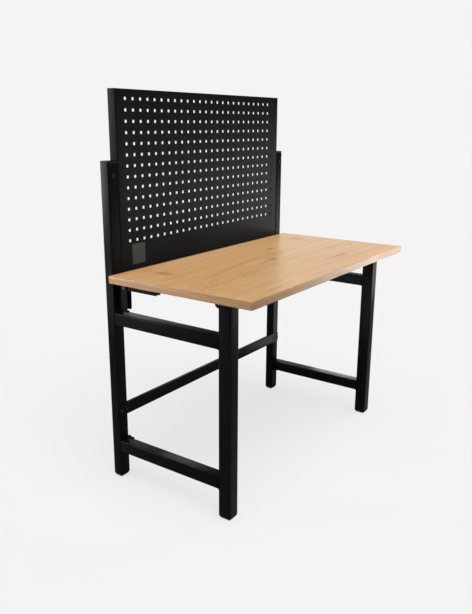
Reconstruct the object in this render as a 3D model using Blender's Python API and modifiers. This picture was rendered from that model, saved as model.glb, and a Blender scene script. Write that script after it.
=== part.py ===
"""Folding workbench with a pegboard: a rear frame, a hinged worktop and two folding leg frames.

Units are metres and +Z is up. The origin is on the floor, in the middle of the bench's footprint.
The user stands at -Y and the pegboard is at the back. Left means -X, as seen by the user.
"""

import math

import bmesh
import bpy
from mathutils import Matrix, Vector

# Worktop
TOP_WIDTH = 1.190
TOP_DEPTH = 0.609
TOP_THICKNESS = 0.026
TOP_HEIGHT = 0.810
TOP_TO_PANEL = 0.0042
EDGE_BAND = 0.0015

# Square tube frame
TOP_OVERHANG = 0.025
TUBE_WIDTH = 0.046
TUBE_WALL = 0.0015
TUBE_CORNER = 0.004
UPRIGHT_DEPTH = 0.040
UPRIGHT_HEIGHT = 1.206
LEG_DEPTH = 0.050
LEG_SETBACK = 0.0962
FOLDED_GAP = 0.012
RAIL_HEIGHT = 0.046
UPPER_RAIL_Z = 0.645
LOWER_RAIL_Z = 0.136
RAIL_STOP_GAP = 0.001

# Pegboard tray
PEG_PITCH = 0.038
PEG_HOLE = 0.010
PANEL_TOP = 1.445
PANEL_HEIGHT = 0.672
PANEL_TOP_MARGIN = 0.032
PANEL_SIDE_MARGIN = 0.044
PANEL_BOTTOM_MARGIN = 0.130
PANEL_DEPTH = 0.035
PANEL_SHEET = 0.0015
PANEL_BEND = 0.003

# Cross brace
BRACE_Z = 0.2805
BRACE_HEIGHT = 0.047
BRACE_DEPTH = 0.012
BRACE_SHEET = 0.003
BRACE_CORNER = 0.007
BRACE_END_INSET = 0.001
BRACE_BOLT_INSETS = (0.010, 0.038)

# Worktop hinge brackets and arms
BRACKET_INSET = 0.020
BRACKET_WIDTH = 0.024
BRACKET_REACH = 0.045
BRACKET_BOTTOM = 0.679
BRACKET_SHEET = 0.0025
PIVOT_DROP = 0.021
PIVOT_FORWARD = 0.034
PIVOT_HEAD_ROOM = 0.015
ARM_HEIGHT = 0.030
ARM_LENGTH = 0.172
ARM_BEHIND_PIVOT = 0.018
ARM_SHEET = 0.0025
ARM_REAR_RADIUS = 0.010
ARM_FRONT_RADIUS = 0.008
ARM_SCREW_INSETS = (0.060, 0.150)
BRACKET_BOLT_SHARES = (0.22, 0.55)

# Butt hinges of the leg frames
LEAF_HEIGHT = 0.052
LEAF_LENGTH = 0.028
LEAF_SHEET = 0.0025
KNUCKLE_RADIUS = 0.005
KNUCKLE_GAP = 0.0004
HINGE_PIN_RADIUS = 0.003
HINGE_PIN_HEAD = 0.0015

# Plastic feet, caps and stops
FOOT_HEIGHT = 0.014
FOOT_ROUNDING = 0.009
CAP_THICKNESS = 0.002
TOP_CAP_HEIGHT = 0.007
REST_PAD_HEIGHT = 0.0024
REST_PAD_WIDTH = 0.012
REST_PAD_INSET = 0.003
PLUG_LENGTH = 0.014
STOP_WIDTH = 0.030
STOP_DEPTH = 0.018
STOP_HEIGHT = 0.024
STOP_CHAMFER = 0.007
STOP_GAP = 0.001

# Fasteners
BOLT_RADIUS = 0.003
BOLT_HEAD_RADIUS = 0.0065
BOLT_HEAD_HEIGHT = 0.004
BOLT_LENGTH = 0.012
PIVOT_RADIUS = 0.004
PIVOT_HEAD_RADIUS = 0.008
SCREW_RADIUS = 0.0022
SCREW_HEAD_RADIUS = 0.0045
SCREW_HEAD_HEIGHT = 0.0025
SCREW_BITE = 0.014
UPRIGHT_BOLT_BELOW_TOP = 0.050
PANEL_BOLT_EDGE = 0.030

# Clearances and facets
SEAT = 0.0003
FIT = 0.0003
CORNER_STEPS = 3
ROUND_STEPS = 10
HOLE_STEPS = 8
HEX = 6
ROUND_SHADING = math.radians(40)

# Positions worked out from the sizes above
HALF_FRAME = TOP_WIDTH / 2 - TOP_OVERHANG
INNER_HALF = HALF_FRAME - TUBE_WIDTH
TUBE_X = HALF_FRAME - TUBE_WIDTH / 2
FRONT_Y = (TOP_TO_PANEL + TOP_DEPTH - UPRIGHT_DEPTH) / 2
UNDERSIDE_Z = TOP_HEIGHT - TOP_THICKNESS
LEG_REACH = min(TOP_TO_PANEL + TOP_DEPTH - LEG_SETBACK, INNER_HALF - FOLDED_GAP / 2)
LEG_FRONT_Y = FRONT_Y - LEG_REACH
LEG_REAR_Y = LEG_FRONT_Y + LEG_DEPTH
HINGE_X = INNER_HALF - SEAT - KNUCKLE_RADIUS
HINGE_Y = FRONT_Y - RAIL_STOP_GAP / 2
PIVOT_Y = FRONT_Y - PIVOT_FORWARD
PIVOT_Z = UNDERSIDE_Z - PIVOT_DROP
BRACKET_TOP = PIVOT_Z + PIVOT_HEAD_ROOM
BRACKET_X = HALF_FRAME - BRACKET_INSET - BRACKET_WIDTH / 2
ARM_WIDTH = BRACKET_WIDTH - 2 * BRACKET_SHEET - 2 * FIT
PEG_COLUMNS = int((2 * INNER_HALF - 2 * PANEL_SIDE_MARGIN) / PEG_PITCH) + 1
PEG_ROWS = int((PANEL_HEIGHT - PANEL_TOP_MARGIN - PANEL_BOTTOM_MARGIN) / PEG_PITCH) + 1
SIDES = {"left": -1, "right": 1}
RAILS = {"upper": UPPER_RAIL_Z, "lower": LOWER_RAIL_Z}
LEVELS = ("lower", "upper")
FOLDS = {"left": (-1, 0), "right": (1, 0), "top": (0, 1), "bottom": (0, -1)}


# Scene set-up

def clear_scene():
    """Remove what the start-up file holds."""
    for item in list(bpy.data.objects):
        bpy.data.objects.remove(item, do_unlink=True)


def make_collection(name):
    """Return a new collection linked to the scene."""
    collection = bpy.data.collections.new(name)
    bpy.context.scene.collection.children.link(collection)
    return collection


def make_material(name, colour, roughness, metallic=0.0):
    """Return a Principled material."""
    material = bpy.data.materials.new(name)
    material.use_nodes = True
    shader = material.node_tree.nodes["Principled BSDF"]
    shader.inputs["Base Color"].default_value = (*colour, 1.0)
    shader.inputs["Roughness"].default_value = roughness
    shader.inputs["Metallic"].default_value = metallic
    return material


clear_scene()
BENCH = make_collection("folding_workbench")
CUTTERS = make_collection("cutters")
FRAME_PAINT = make_material("frame_powder_coat", (0.018, 0.018, 0.019), 0.45)
PANEL_PAINT = make_material("panel_powder_coat", (0.016, 0.016, 0.017), 0.50)
OAK_TOP = make_material("oak_laminate", (0.58, 0.36, 0.17), 0.55)
OAK_EDGE = make_material("oak_edge_band", (0.52, 0.34, 0.20), 0.60)
BLACK_PLASTIC = make_material("black_plastic", (0.012, 0.012, 0.012), 0.55)
BLACK_STEEL = make_material("blackened_fasteners", (0.030, 0.030, 0.032), 0.40, 0.8)


# Building blocks

def add_object(name, mesh, material):
    """Add a mesh to the bench under the given node name."""
    item = bpy.data.objects.new(name, mesh)
    mesh.materials.clear()
    mesh.materials.append(material)
    BENCH.objects.link(item)
    return item


def add_cutter(name, mesh):
    """Add a mesh that only cuts other pieces."""
    item = bpy.data.objects.new(name, mesh)
    item.hide_render = True
    item.display_type = "WIRE"
    CUTTERS.objects.link(item)
    return item


def mesh_from(build):
    """Return a mesh made by a function that fills a bmesh."""
    form = bmesh.new()
    build(form)
    bmesh.ops.recalc_face_normals(form, faces=form.faces)
    mesh = bpy.data.meshes.new("form")
    form.to_mesh(mesh)
    form.free()
    return mesh


def add_block(form, low, high):
    """Add a cube between two opposite corners to a bmesh."""
    low, high = Vector(low), Vector(high)
    place = Matrix.Translation((low + high) / 2) @ Matrix.Diagonal((*(high - low), 1.0))
    return bmesh.ops.create_cube(form, size=1.0, matrix=place)["verts"]


def block_mesh(low, high):
    """Return a box between two opposite corners."""
    return mesh_from(lambda form: add_block(form, low, high))


def along(direction):
    """Return the turn that brings +Z onto a direction."""
    return Vector((0, 0, 1)).rotation_difference(Vector(direction)).to_matrix().to_4x4()


def rods_mesh(centres, direction, radius, length, steps=HOLE_STEPS):
    """Return cylinders with their middles at the centres, for cutting holes."""
    def build(form):
        for centre in centres:
            place = Matrix.Translation(centre) @ along(direction)
            bmesh.ops.create_cone(form, cap_ends=True, segments=steps, radius1=radius,
                                  radius2=radius, depth=length, matrix=place)
    return mesh_from(build)


def clear_radius(radius, steps=HOLE_STEPS):
    """Return the corner radius of a faceted hole whose flats clear a round of the given radius."""
    return (radius + FIT) / math.cos(math.pi / steps)


def combine(item, other, operation):
    """Join, cut or intersect an object with another one by a Boolean modifier."""
    change = item.modifiers.new(operation.lower(), "BOOLEAN")
    change.operation = operation
    change.object = other
    change.solver = "EXACT"


def add_sheet(item, thickness):
    """Give an open surface a sheet's thickness on its inner side."""
    sheet = item.modifiers.new("sheet", "SOLIDIFY")
    sheet.thickness = thickness
    sheet.offset = -1.0
    sheet.use_even_offset = True


def cut(item, name, mesh):
    """Cut a mesh out of an object."""
    combine(item, add_cutter(name, mesh), "DIFFERENCE")


def drill(item, name, centres, direction, radius, length):
    """Cut clearance holes for rods of the given radius."""
    cut(item, name, rods_mesh(centres, direction, clear_radius(radius), length))


def rounded_rectangle(width, height, radii, steps=CORNER_STEPS):
    """Return an outline's points, anticlockwise from the lower left corner, one radius a corner."""
    points = []
    corners = ((-1, -1, 180), (1, -1, 270), (1, 1, 0), (-1, 1, 90))
    for (side_x, side_y, start), radius in zip(corners, radii):
        centre_x = side_x * (width / 2 - radius)
        centre_y = side_y * (height / 2 - radius)
        count = steps if radius > 0 else 0
        for step in range(count + 1):
            angle = math.radians(start + 90 * step / max(count, 1))
            points.append((centre_x + radius * math.cos(angle), centre_y + radius * math.sin(angle)))
    return points


def outline_mesh(outlines, thickness):
    """Return a flat solid whose outlines lie in XY; an outline inside another is a hole."""
    curve = bpy.data.curves.new("outline", "CURVE")
    curve.dimensions = "2D"
    curve.fill_mode = "BOTH"
    curve.extrude = thickness / 2
    for outline in outlines:
        spline = curve.splines.new("POLY")
        spline.points.add(len(outline) - 1)
        spline.use_cyclic_u = True
        for point, (x, y) in zip(spline.points, outline):
            point.co = (x, y, 0.0, 1.0)
    holder = bpy.data.objects.new("outline", curve)
    BENCH.objects.link(holder)
    bpy.context.view_layer.update()
    depsgraph = bpy.context.evaluated_depsgraph_get()
    mesh = bpy.data.meshes.new_from_object(holder.evaluated_get(depsgraph))
    bpy.data.objects.remove(holder, do_unlink=True)
    form = bmesh.new()
    form.from_mesh(mesh)
    bmesh.ops.remove_doubles(form, verts=form.verts, dist=0.00001)
    bmesh.ops.recalc_face_normals(form, faces=form.faces)
    form.to_mesh(mesh)
    form.free()
    return mesh


def tube_mesh(width, depth, length):
    """Return a hollow rectangular tube along Z, centred on the origin, with rolled corners."""
    inner_corner = TUBE_CORNER - TUBE_WALL
    outer = rounded_rectangle(width, depth, [TUBE_CORNER] * 4)
    inner = rounded_rectangle(width - 2 * TUBE_WALL, depth - 2 * TUBE_WALL, [inner_corner] * 4)
    return outline_mesh([outer, inner], length)


def shade_round(mesh):
    """Shade a round body smooth and leave its real edges sharp."""
    mesh.shade_smooth()
    mesh.set_sharp_from_angle(angle=ROUND_SHADING)
    return mesh


def stacked_mesh(width, depth, levels):
    """Return a loft through rounded rectangles; a level is a height and an inset of the outline."""
    def build(form):
        rings = []
        for height, inset in levels:
            radius = max(TUBE_CORNER - inset, 0.0006)
            outline = rounded_rectangle(width - 2 * inset, depth - 2 * inset, [radius] * 4)
            rings.append([form.verts.new((x, y, height)) for x, y in outline])
        for lower, upper in zip(rings, rings[1:]):
            for index in range(len(lower)):
                following = (index + 1) % len(lower)
                form.faces.new((lower[index], lower[following], upper[following], upper[index]))
        form.faces.new(reversed(rings[0]))
        form.faces.new(rings[-1])
    return shade_round(mesh_from(build))


def turned_mesh(profile, steps):
    """Return a body turned about Z from a profile of (radius, height) points, by a Screw modifier."""
    mesh = bpy.data.meshes.new("profile")
    points = [(radius, 0.0, height) for radius, height in profile]
    mesh.from_pydata(points, [(index, index + 1) for index in range(len(points) - 1)], [])
    holder = bpy.data.objects.new("profile", mesh)
    BENCH.objects.link(holder)
    turn = holder.modifiers.new("turn", "SCREW")
    turn.axis = "Z"
    turn.steps = steps
    turn.render_steps = steps
    turn.use_merge_vertices = True
    turn.merge_threshold = 0.00001
    bpy.context.view_layer.update()
    depsgraph = bpy.context.evaluated_depsgraph_get()
    result = bpy.data.meshes.new_from_object(holder.evaluated_get(depsgraph))
    bpy.data.objects.remove(holder, do_unlink=True)
    return shade_round(result)


def bolt_mesh(head_radius, head_height, radius, length, steps=HEX):
    """Return a headed bolt: the head stands on +Z above the origin and the shank runs down."""
    corner = head_radius / math.cos(math.pi / steps)
    chamfer = head_height * 0.2
    profile = [(0.0, head_height), (corner - chamfer, head_height), (corner, head_height - chamfer),
               (corner, 0.0), (radius, 0.0), (radius, -length), (0.0, -length)]
    return turned_mesh(profile, steps)


def add_copy(name, mesh, place, direction, material):
    """Add an object that shares a mesh, with the mesh's +Z turned to a direction."""
    item = add_object(name, mesh, material)
    item.matrix_world = Matrix.Translation(place) @ along(direction)
    return item


def stand_on_axis(name, place, items):
    """Parent moving pieces to an empty that stands on their joint's axis."""
    axis = bpy.data.objects.new(name, None)
    axis.location = place
    BENCH.objects.link(axis)
    bpy.context.view_layer.update()
    for item in items:
        item.parent = axis
        item.matrix_parent_inverse = axis.matrix_world.inverted()


# Rear frame

def front_bolt_places(side):
    """Return the centres of the bolts that enter an upright's front face, by what they hold."""
    bracket_rise = BRACKET_TOP - BRACKET_BOTTOM
    top_bolt_z = UPRIGHT_HEIGHT - UPRIGHT_BOLT_BELOW_TOP
    return {
        "brace": [(side * (HALF_FRAME - inset), FRONT_Y, BRACE_Z) for inset in BRACE_BOLT_INSETS],
        "upright": [(side * TUBE_X, FRONT_Y, top_bolt_z)],
        "bracket": [(side * BRACKET_X, FRONT_Y, BRACKET_BOTTOM + bracket_rise * share)
                    for share in BRACKET_BOLT_SHARES],
    }


def panel_bolt_places(side):
    """Return the centres of the bolts between a tray's side and the upright's inner face."""
    low = PANEL_TOP - PANEL_HEIGHT + PANEL_BOLT_EDGE
    high = UPRIGHT_HEIGHT - PANEL_BOLT_EDGE
    return [(side * INNER_HALF, FRONT_Y + PANEL_DEPTH / 2, height) for height in (low, high)]


def make_upright(name, side):
    """Add an upright with its plastic foot and top cap."""
    low = FOOT_HEIGHT + SEAT
    high = UPRIGHT_HEIGHT - TOP_CAP_HEIGHT - SEAT
    centre = (side * TUBE_X, FRONT_Y + UPRIGHT_DEPTH / 2, (low + high) / 2)
    upright = add_object(f"{name}_upright", tube_mesh(TUBE_WIDTH, UPRIGHT_DEPTH, high - low), FRAME_PAINT)
    upright.location = centre
    places = [place for group in front_bolt_places(side).values() for place in group]
    drill(upright, f"{name}_front_holes", places, (0, 1, 0), BOLT_RADIUS, UPRIGHT_DEPTH)
    drill(upright, f"{name}_panel_holes", panel_bolt_places(side), (1, 0, 0), BOLT_RADIUS, TUBE_WIDTH)
    make_foot(f"{name}_rear_foot", centre, UPRIGHT_DEPTH)
    levels = [(high - PLUG_LENGTH, TUBE_WALL + FIT), (UPRIGHT_HEIGHT - TOP_CAP_HEIGHT, TUBE_WALL + FIT),
              (UPRIGHT_HEIGHT - TOP_CAP_HEIGHT, 0.0)]
    levels += [(UPRIGHT_HEIGHT - rise, inset) for rise, inset in reversed(rounded_levels(TUBE_CORNER))]
    cap = add_object(f"{name}_upright_cap", stacked_mesh(TUBE_WIDTH, UPRIGHT_DEPTH, levels), BLACK_PLASTIC)
    cap.location = (centre[0], centre[1], 0.0)


def rounded_levels(rounding):
    """Return the levels of a rounded lower edge, as heights and insets on a quarter circle."""
    turns = [math.radians(90) * step / CORNER_STEPS for step in range(CORNER_STEPS + 1)]
    return [(rounding * (1 - math.cos(turn)), rounding * (1 - math.sin(turn))) for turn in turns]


def make_foot(name, centre, depth):
    """Add a plastic foot that plugs into the lower end of a tube."""
    levels = rounded_levels(FOOT_ROUNDING)
    levels += [(FOOT_HEIGHT, 0.0), (FOOT_HEIGHT, TUBE_WALL + FIT), (FOOT_HEIGHT + PLUG_LENGTH, TUBE_WALL + FIT)]
    foot = add_object(name, stacked_mesh(TUBE_WIDTH, depth, levels), BLACK_PLASTIC)
    foot.location = (centre[0], centre[1], 0.0)
    return foot


def tray_mesh(half, bottom):
    """Return the open box that the tool panel is bent from, with its front edges marked for bending."""
    def build(form):
        add_block(form, (-half, FRONT_Y, bottom), (half, FRONT_Y + PANEL_DEPTH, PANEL_TOP))
        back = [face for face in form.faces if face.calc_center_median().y > FRONT_Y + PANEL_DEPTH * 0.9]
        bmesh.ops.delete(form, geom=back, context="FACES_ONLY")
        weights = form.edges.layers.float.new("bevel_weight_edge")
        for edge in form.edges:
            if all(vertex.co.y < FRONT_Y + PANEL_DEPTH / 2 for vertex in edge.verts):
                edge[weights] = 1.0
    return mesh_from(build)


def fold_wedge(out_x, out_z, half, bottom):
    """Return the wedge that takes one side of the tray, mitred at 45 degrees with a clearance."""
    middle = (PANEL_TOP + bottom) / 2
    half_height = (PANEL_TOP - bottom) / 2
    reach, run = (half, half_height) if out_x else (half_height, half)
    outline = []
    for away, sign in ((PANEL_DEPTH, -1), (PANEL_DEPTH, 1), (-PANEL_DEPTH, 1), (-PANEL_DEPTH, -1)):
        outward = reach + away
        sideways = sign * (run + away - FIT)
        outline.append((out_x * outward + out_z * sideways, out_z * outward + out_x * sideways))
    wedge = outline_mesh([outline], 4 * PANEL_DEPTH)
    wedge.transform(Matrix.Translation((0, FRONT_Y, middle)) @ Matrix.Rotation(math.radians(90), 4, "X"))
    return wedge


def make_pegboard():
    """Add the tool panel: a flat sheet cut by a grid of square holes, and its four folded sides.

    The real panel is one sheet. Its sides are nodes of their own, parted by a hairline, so that the
    space for the hooks behind the sheet stays open to collision.
    """
    half = INNER_HALF - SEAT
    bottom = PANEL_TOP - PANEL_HEIGHT
    seam = PANEL_BEND + PANEL_SHEET / 3
    clear = seam + FIT
    sheet = add_object("pegboard", block_mesh((-half + clear, FRONT_Y, bottom + clear),
                                              (half - clear, FRONT_Y + PANEL_SHEET, PANEL_TOP - clear)), PANEL_PAINT)
    peg = add_cutter("peg_holes", block_mesh((-PEG_HOLE / 2, -PANEL_DEPTH / 2, -PEG_HOLE / 2),
                                             (PEG_HOLE / 2, PANEL_DEPTH / 2, PEG_HOLE / 2)))
    peg.location = (-(PEG_COLUMNS - 1) * PEG_PITCH / 2, FRONT_Y, PANEL_TOP - PANEL_TOP_MARGIN)
    for label, count, step in (("columns", PEG_COLUMNS, (PEG_PITCH, 0, 0)),
                               ("rows", PEG_ROWS, (0, 0, -PEG_PITCH))):
        repeat = peg.modifiers.new(label, "ARRAY")
        repeat.use_relative_offset = False
        repeat.use_constant_offset = True
        repeat.constant_offset_displace = step
        repeat.count = count
    combine(sheet, peg, "DIFFERENCE")
    window = add_cutter("tray_window", block_mesh((-half + seam, FRONT_Y - PANEL_SHEET, bottom + seam),
                                                  (half - seam, FRONT_Y + 2 * PANEL_SHEET, PANEL_TOP - seam)))
    tray = tray_mesh(half, bottom)
    for name, (out_x, out_z) in FOLDS.items():
        fold = add_object(f"pegboard_{name}_fold", tray, PANEL_PAINT)
        bend = fold.modifiers.new("bend", "BEVEL")
        bend.limit_method = "WEIGHT"
        bend.width = PANEL_BEND
        bend.segments = 3
        add_sheet(fold, PANEL_SHEET)
        combine(fold, window, "DIFFERENCE")
        combine(fold, add_cutter(f"{name}_fold_wedge", fold_wedge(out_x, out_z, half, bottom)), "INTERSECT")
        if out_x:
            drill(fold, f"{name}_fold_holes", panel_bolt_places(out_x), (1, 0, 0), BOLT_RADIUS, TUBE_WIDTH)


def make_cross_brace():
    """Add the pressed brace across the uprights' front faces, with lips between the uprights."""
    half = HALF_FRAME - BRACE_END_INSET
    back = FRONT_Y - SEAT
    front = back - BRACE_SHEET
    low, high = BRACE_Z - BRACE_HEIGHT / 2, BRACE_Z + BRACE_HEIGHT / 2

    def build(form):
        add_block(form, (-half, front, low), (half, front + BRACE_DEPTH, high))
        open_sides = [face for face in form.faces
                      if face.normal.y > 0.9 or abs(face.normal.x) > 0.9]
        bmesh.ops.delete(form, geom=open_sides, context="FACES_ONLY")

    brace = add_object("cross_brace", mesh_from(build), FRAME_PAINT)
    bend = brace.modifiers.new("bend", "BEVEL")
    bend.width = BRACE_SHEET * 1.2
    bend.segments = 2
    add_sheet(brace, BRACE_SHEET)
    for name, side in SIDES.items():
        clear_half = INNER_HALF - TUBE_WALL
        corner = ((side * clear_half, back, low - FIT), (side * (half + FIT), FRONT_Y + UPRIGHT_DEPTH, high + FIT))
        limits = [sorted(pair) for pair in zip(*corner)]
        cut(brace, f"{name}_brace_notch", block_mesh([pair[0] for pair in limits], [pair[1] for pair in limits]))
    outline = rounded_rectangle(2 * half, BRACE_HEIGHT, [BRACE_CORNER] * 4)
    form = outline_mesh([outline], 2 * (BRACE_DEPTH + BRACE_SHEET))
    form.transform(Matrix.Translation((0, FRONT_Y, BRACE_Z)) @ Matrix.Rotation(math.radians(90), 4, "X"))
    combine(brace, add_cutter("brace_outline", form), "INTERSECT")
    places = [place for side in SIDES.values() for place in front_bolt_places(side)["brace"]]
    drill(brace, "brace_holes", places, (0, 1, 0), BOLT_RADIUS, UPRIGHT_DEPTH / 2)


def place_side_profile(mesh, x, y, z):
    """Stand an outline drawn in XY upright in the YZ plane, with its middle at a point."""
    turn = Matrix(((0, 0, 1, 0), (1, 0, 0, 0), (0, 1, 0, 0), (0, 0, 0, 1)))
    mesh.transform(Matrix.Translation((x, y, z)) @ turn)
    return mesh


def make_table_bracket(name, side):
    """Add the U-shaped bracket on an upright's front face that carries the worktop's pivot."""
    rear = FRONT_Y - SEAT
    front = FRONT_Y - BRACKET_REACH
    middle = side * BRACKET_X
    half = BRACKET_WIDTH / 2

    def build(form):
        add_block(form, (middle - half, front, BRACKET_BOTTOM), (middle + half, rear, BRACKET_TOP))
        open_sides = [face for face in form.faces
                      if face.normal.y < -0.9 or abs(face.normal.z) > 0.9]
        bmesh.ops.delete(form, geom=open_sides, context="FACES_ONLY")

    bracket = add_object(f"{name}_table_bracket", mesh_from(build), FRAME_PAINT)
    bend = bracket.modifiers.new("bend", "BEVEL")
    bend.width = BRACKET_SHEET * 1.2
    bend.segments = 2
    add_sheet(bracket, BRACKET_SHEET)
    corner = BRACKET_SHEET * 3
    outline = rounded_rectangle(rear - front + 2 * FIT, BRACKET_TOP - BRACKET_BOTTOM, [corner, 0, 0, corner])
    profile = outline_mesh([outline], BRACKET_WIDTH * 2)
    place_side_profile(profile, middle, (front + rear) / 2 + FIT, (BRACKET_TOP + BRACKET_BOTTOM) / 2)
    combine(bracket, add_cutter(f"{name}_bracket_outline", profile), "INTERSECT")
    places = front_bolt_places(side)["bracket"]
    drill(bracket, f"{name}_bracket_bolt_holes", places, (0, 1, 0), BOLT_RADIUS, BRACKET_WIDTH)
    drill(bracket, f"{name}_bracket_pivot_hole", [(middle, PIVOT_Y, PIVOT_Z)], (1, 0, 0), PIVOT_RADIUS,
          2 * BRACKET_WIDTH)


def make_rear_fasteners():
    """Add the bolts that hold the rear frame together."""
    bolt = bolt_mesh(BOLT_HEAD_RADIUS, BOLT_HEAD_HEIGHT, BOLT_RADIUS, BOLT_LENGTH)
    covers = {"brace": BRACE_SHEET + SEAT, "upright": 0.0, "bracket": BRACKET_SHEET + SEAT}
    labels = {"brace": ("outer", "inner"), "upright": ("top",), "bracket": LEVELS}
    for name, side in SIDES.items():
        for key, places in front_bolt_places(side).items():
            for label, (x, y, z) in zip(labels[key], places):
                seat = (x, y - covers[key] - SEAT, z)
                add_copy(f"{name}_{key}_bolt_{label}", bolt, seat, (0, -1, 0), BLACK_STEEL)
        for label, (x, y, z) in zip(LEVELS, panel_bolt_places(side)):
            seat = (x - side * (SEAT + PANEL_SHEET + SEAT), y, z)
            add_copy(f"{name}_panel_bolt_{label}", bolt, seat, (-side, 0, 0), BLACK_STEEL)


def make_pivots():
    """Add the worktop's pivot bolts and their nuts."""
    nut_height = PIVOT_RADIUS * 1.6
    length = BRACKET_WIDTH + 2 * SEAT + nut_height + PIVOT_RADIUS
    bolt = bolt_mesh(PIVOT_HEAD_RADIUS, PIVOT_RADIUS, PIVOT_RADIUS, length)
    corner = PIVOT_HEAD_RADIUS / math.cos(math.pi / HEX)
    bore = clear_radius(PIVOT_RADIUS, HEX)
    ring = [(bore, nut_height), (corner, nut_height), (corner, 0.0), (bore, 0.0), (bore, nut_height)]
    nut = turned_mesh(ring, HEX)
    for name, side in SIDES.items():
        seat = (side * (BRACKET_X + BRACKET_WIDTH / 2 + SEAT), PIVOT_Y, PIVOT_Z)
        add_copy(f"{name}_pivot_bolt", bolt, seat, (side, 0, 0), BLACK_STEEL)
        seat = (side * (BRACKET_X - BRACKET_WIDTH / 2 - SEAT), PIVOT_Y, PIVOT_Z)
        add_copy(f"{name}_pivot_nut", nut, seat, (-side, 0, 0), BLACK_STEEL)


# Butt hinges of the leg frames

def make_leaf(name, side, height, direction, knuckles):
    """Add a hinge leaf; direction is +1 for the upright's leaf and -1 for the rail's leaf."""
    thirds = LEAF_HEIGHT / 3
    low = height - LEAF_HEIGHT / 2
    back = side * (HINGE_X + KNUCKLE_RADIUS)
    face = side * (HINGE_X + KNUCKLE_RADIUS - LEAF_SHEET)
    near = HINGE_Y + direction * (KNUCKLE_RADIUS + KNUCKLE_GAP)
    far = HINGE_Y + direction * LEAF_LENGTH
    x_low, x_high = sorted((back, face))
    y_low, y_high = sorted((near, far))
    plate = block_mesh((x_low, y_low, low), (x_high, y_high, low + LEAF_HEIGHT))
    leaf = add_object(name, plate, FRAME_PAINT)
    for index in knuckles:
        bottom = low + index * thirds + (KNUCKLE_GAP / 2 if index else 0.0)
        top = low + (index + 1) * thirds - (KNUCKLE_GAP / 2 if index < 2 else 0.0)
        centre = (side * HINGE_X, HINGE_Y, (bottom + top) / 2)
        roll = rods_mesh([centre], (0, 0, 1), KNUCKLE_RADIUS, top - bottom, ROUND_STEPS)
        combine(leaf, add_cutter(f"{name}_roll_{index}", roll), "UNION")
        y_pair = sorted((HINGE_Y + direction * HINGE_PIN_RADIUS, near + direction * LEAF_SHEET))
        strap = block_mesh((x_low, y_pair[0], bottom), (x_high, y_pair[1], top))
        combine(leaf, add_cutter(f"{name}_strap_{index}", strap), "UNION")
    return leaf


def make_hinge(name, side, level, height):
    """Add one butt hinge, whose pin is riveted into the fixed leaf, and return its moving leaf."""
    centre = (side * HINGE_X, HINGE_Y, height)
    fixed = make_leaf(f"{name}_{level}_hinge_fixed_leaf", side, height, 1, (0, 2))
    half = LEAF_HEIGHT / 2
    head = HINGE_PIN_RADIUS + 0.001
    profile = [(0.0, half + HINGE_PIN_HEAD), (head, half + HINGE_PIN_HEAD), (head, half - KNUCKLE_GAP),
               (HINGE_PIN_RADIUS, half - KNUCKLE_GAP), (HINGE_PIN_RADIUS, KNUCKLE_GAP - half),
               (head, KNUCKLE_GAP - half), (head, -half - HINGE_PIN_HEAD), (0.0, -half - HINGE_PIN_HEAD)]
    pin = turned_mesh(profile, ROUND_STEPS)
    pin.transform(Matrix.Translation(centre))
    combine(fixed, add_cutter(f"{name}_{level}_hinge_pin", pin), "UNION")
    moving = make_leaf(f"{name}_{level}_hinge_moving_leaf", side, height, -1, (1,))
    bore = rods_mesh([centre], (0, 0, 1), clear_radius(HINGE_PIN_RADIUS, ROUND_STEPS), LEAF_HEIGHT, ROUND_STEPS)
    cut(moving, f"{name}_{level}_hinge_bore", bore)
    return moving


# Leg frames

def make_leg_cap(name, side, centre, rim):
    """Add a leg's plastic cap; the worktop rests on the raised pad along its outer side.

    The rest of the cap stays lower, so that the worktop can still tilt over the folded leg.
    """
    levels = [(rim - SEAT - PLUG_LENGTH, TUBE_WALL + FIT), (rim, TUBE_WALL + FIT), (rim, 0.0),
              (rim + CAP_THICKNESS, 0.0)]
    cap = add_object(f"{name}_leg_cap", stacked_mesh(TUBE_WIDTH, LEG_DEPTH, levels), BLACK_PLASTIC)
    cap.location = centre
    outer = side * (HALF_FRAME - REST_PAD_INSET)
    inner = outer - side * REST_PAD_WIDTH
    half_length = LEG_DEPTH / 2 - TUBE_CORNER
    pad = block_mesh((min(outer, inner), centre[1] - half_length, rim + CAP_THICKNESS / 2),
                     (max(outer, inner), centre[1] + half_length, rim + CAP_THICKNESS + REST_PAD_HEIGHT))
    combine(cap, add_cutter(f"{name}_rest_pad", pad), "UNION")
    return cap


def make_leg_frame(name, side):
    """Add a leg frame: front leg, foot, cap, two rails and moving hinge leaves."""
    leg_centre = (side * TUBE_X, LEG_FRONT_Y + LEG_DEPTH / 2, 0.0)
    low = FOOT_HEIGHT + SEAT
    high = UNDERSIDE_Z - SEAT - REST_PAD_HEIGHT - CAP_THICKNESS - SEAT
    leg = add_object(f"{name}_leg", tube_mesh(TUBE_WIDTH, LEG_DEPTH, high - low), FRAME_PAINT)
    leg.location = (leg_centre[0], leg_centre[1], (low + high) / 2)
    foot = make_foot(f"{name}_front_foot", leg_centre, LEG_DEPTH)
    pieces = [leg, foot, make_leg_cap(name, side, leg_centre, high + SEAT)]
    tube_rear = FRONT_Y - RAIL_STOP_GAP
    tube_front = LEG_REAR_Y + SEAT
    for level, height in RAILS.items():
        mesh = tube_mesh(TUBE_WIDTH, RAIL_HEIGHT, tube_rear - tube_front)
        rail = add_object(f"{name}_{level}_rail", mesh, FRAME_PAINT)
        rail.rotation_euler = (math.radians(90), 0.0, 0.0)
        rail.location = (side * TUBE_X, (tube_rear + tube_front) / 2, height)
        pieces += [rail, make_hinge(name, side, level, height)]
    stand_on_axis(f"{name}_leg_frame_axis", (side * HINGE_X, HINGE_Y, 0.0), pieces)


# Worktop

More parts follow.
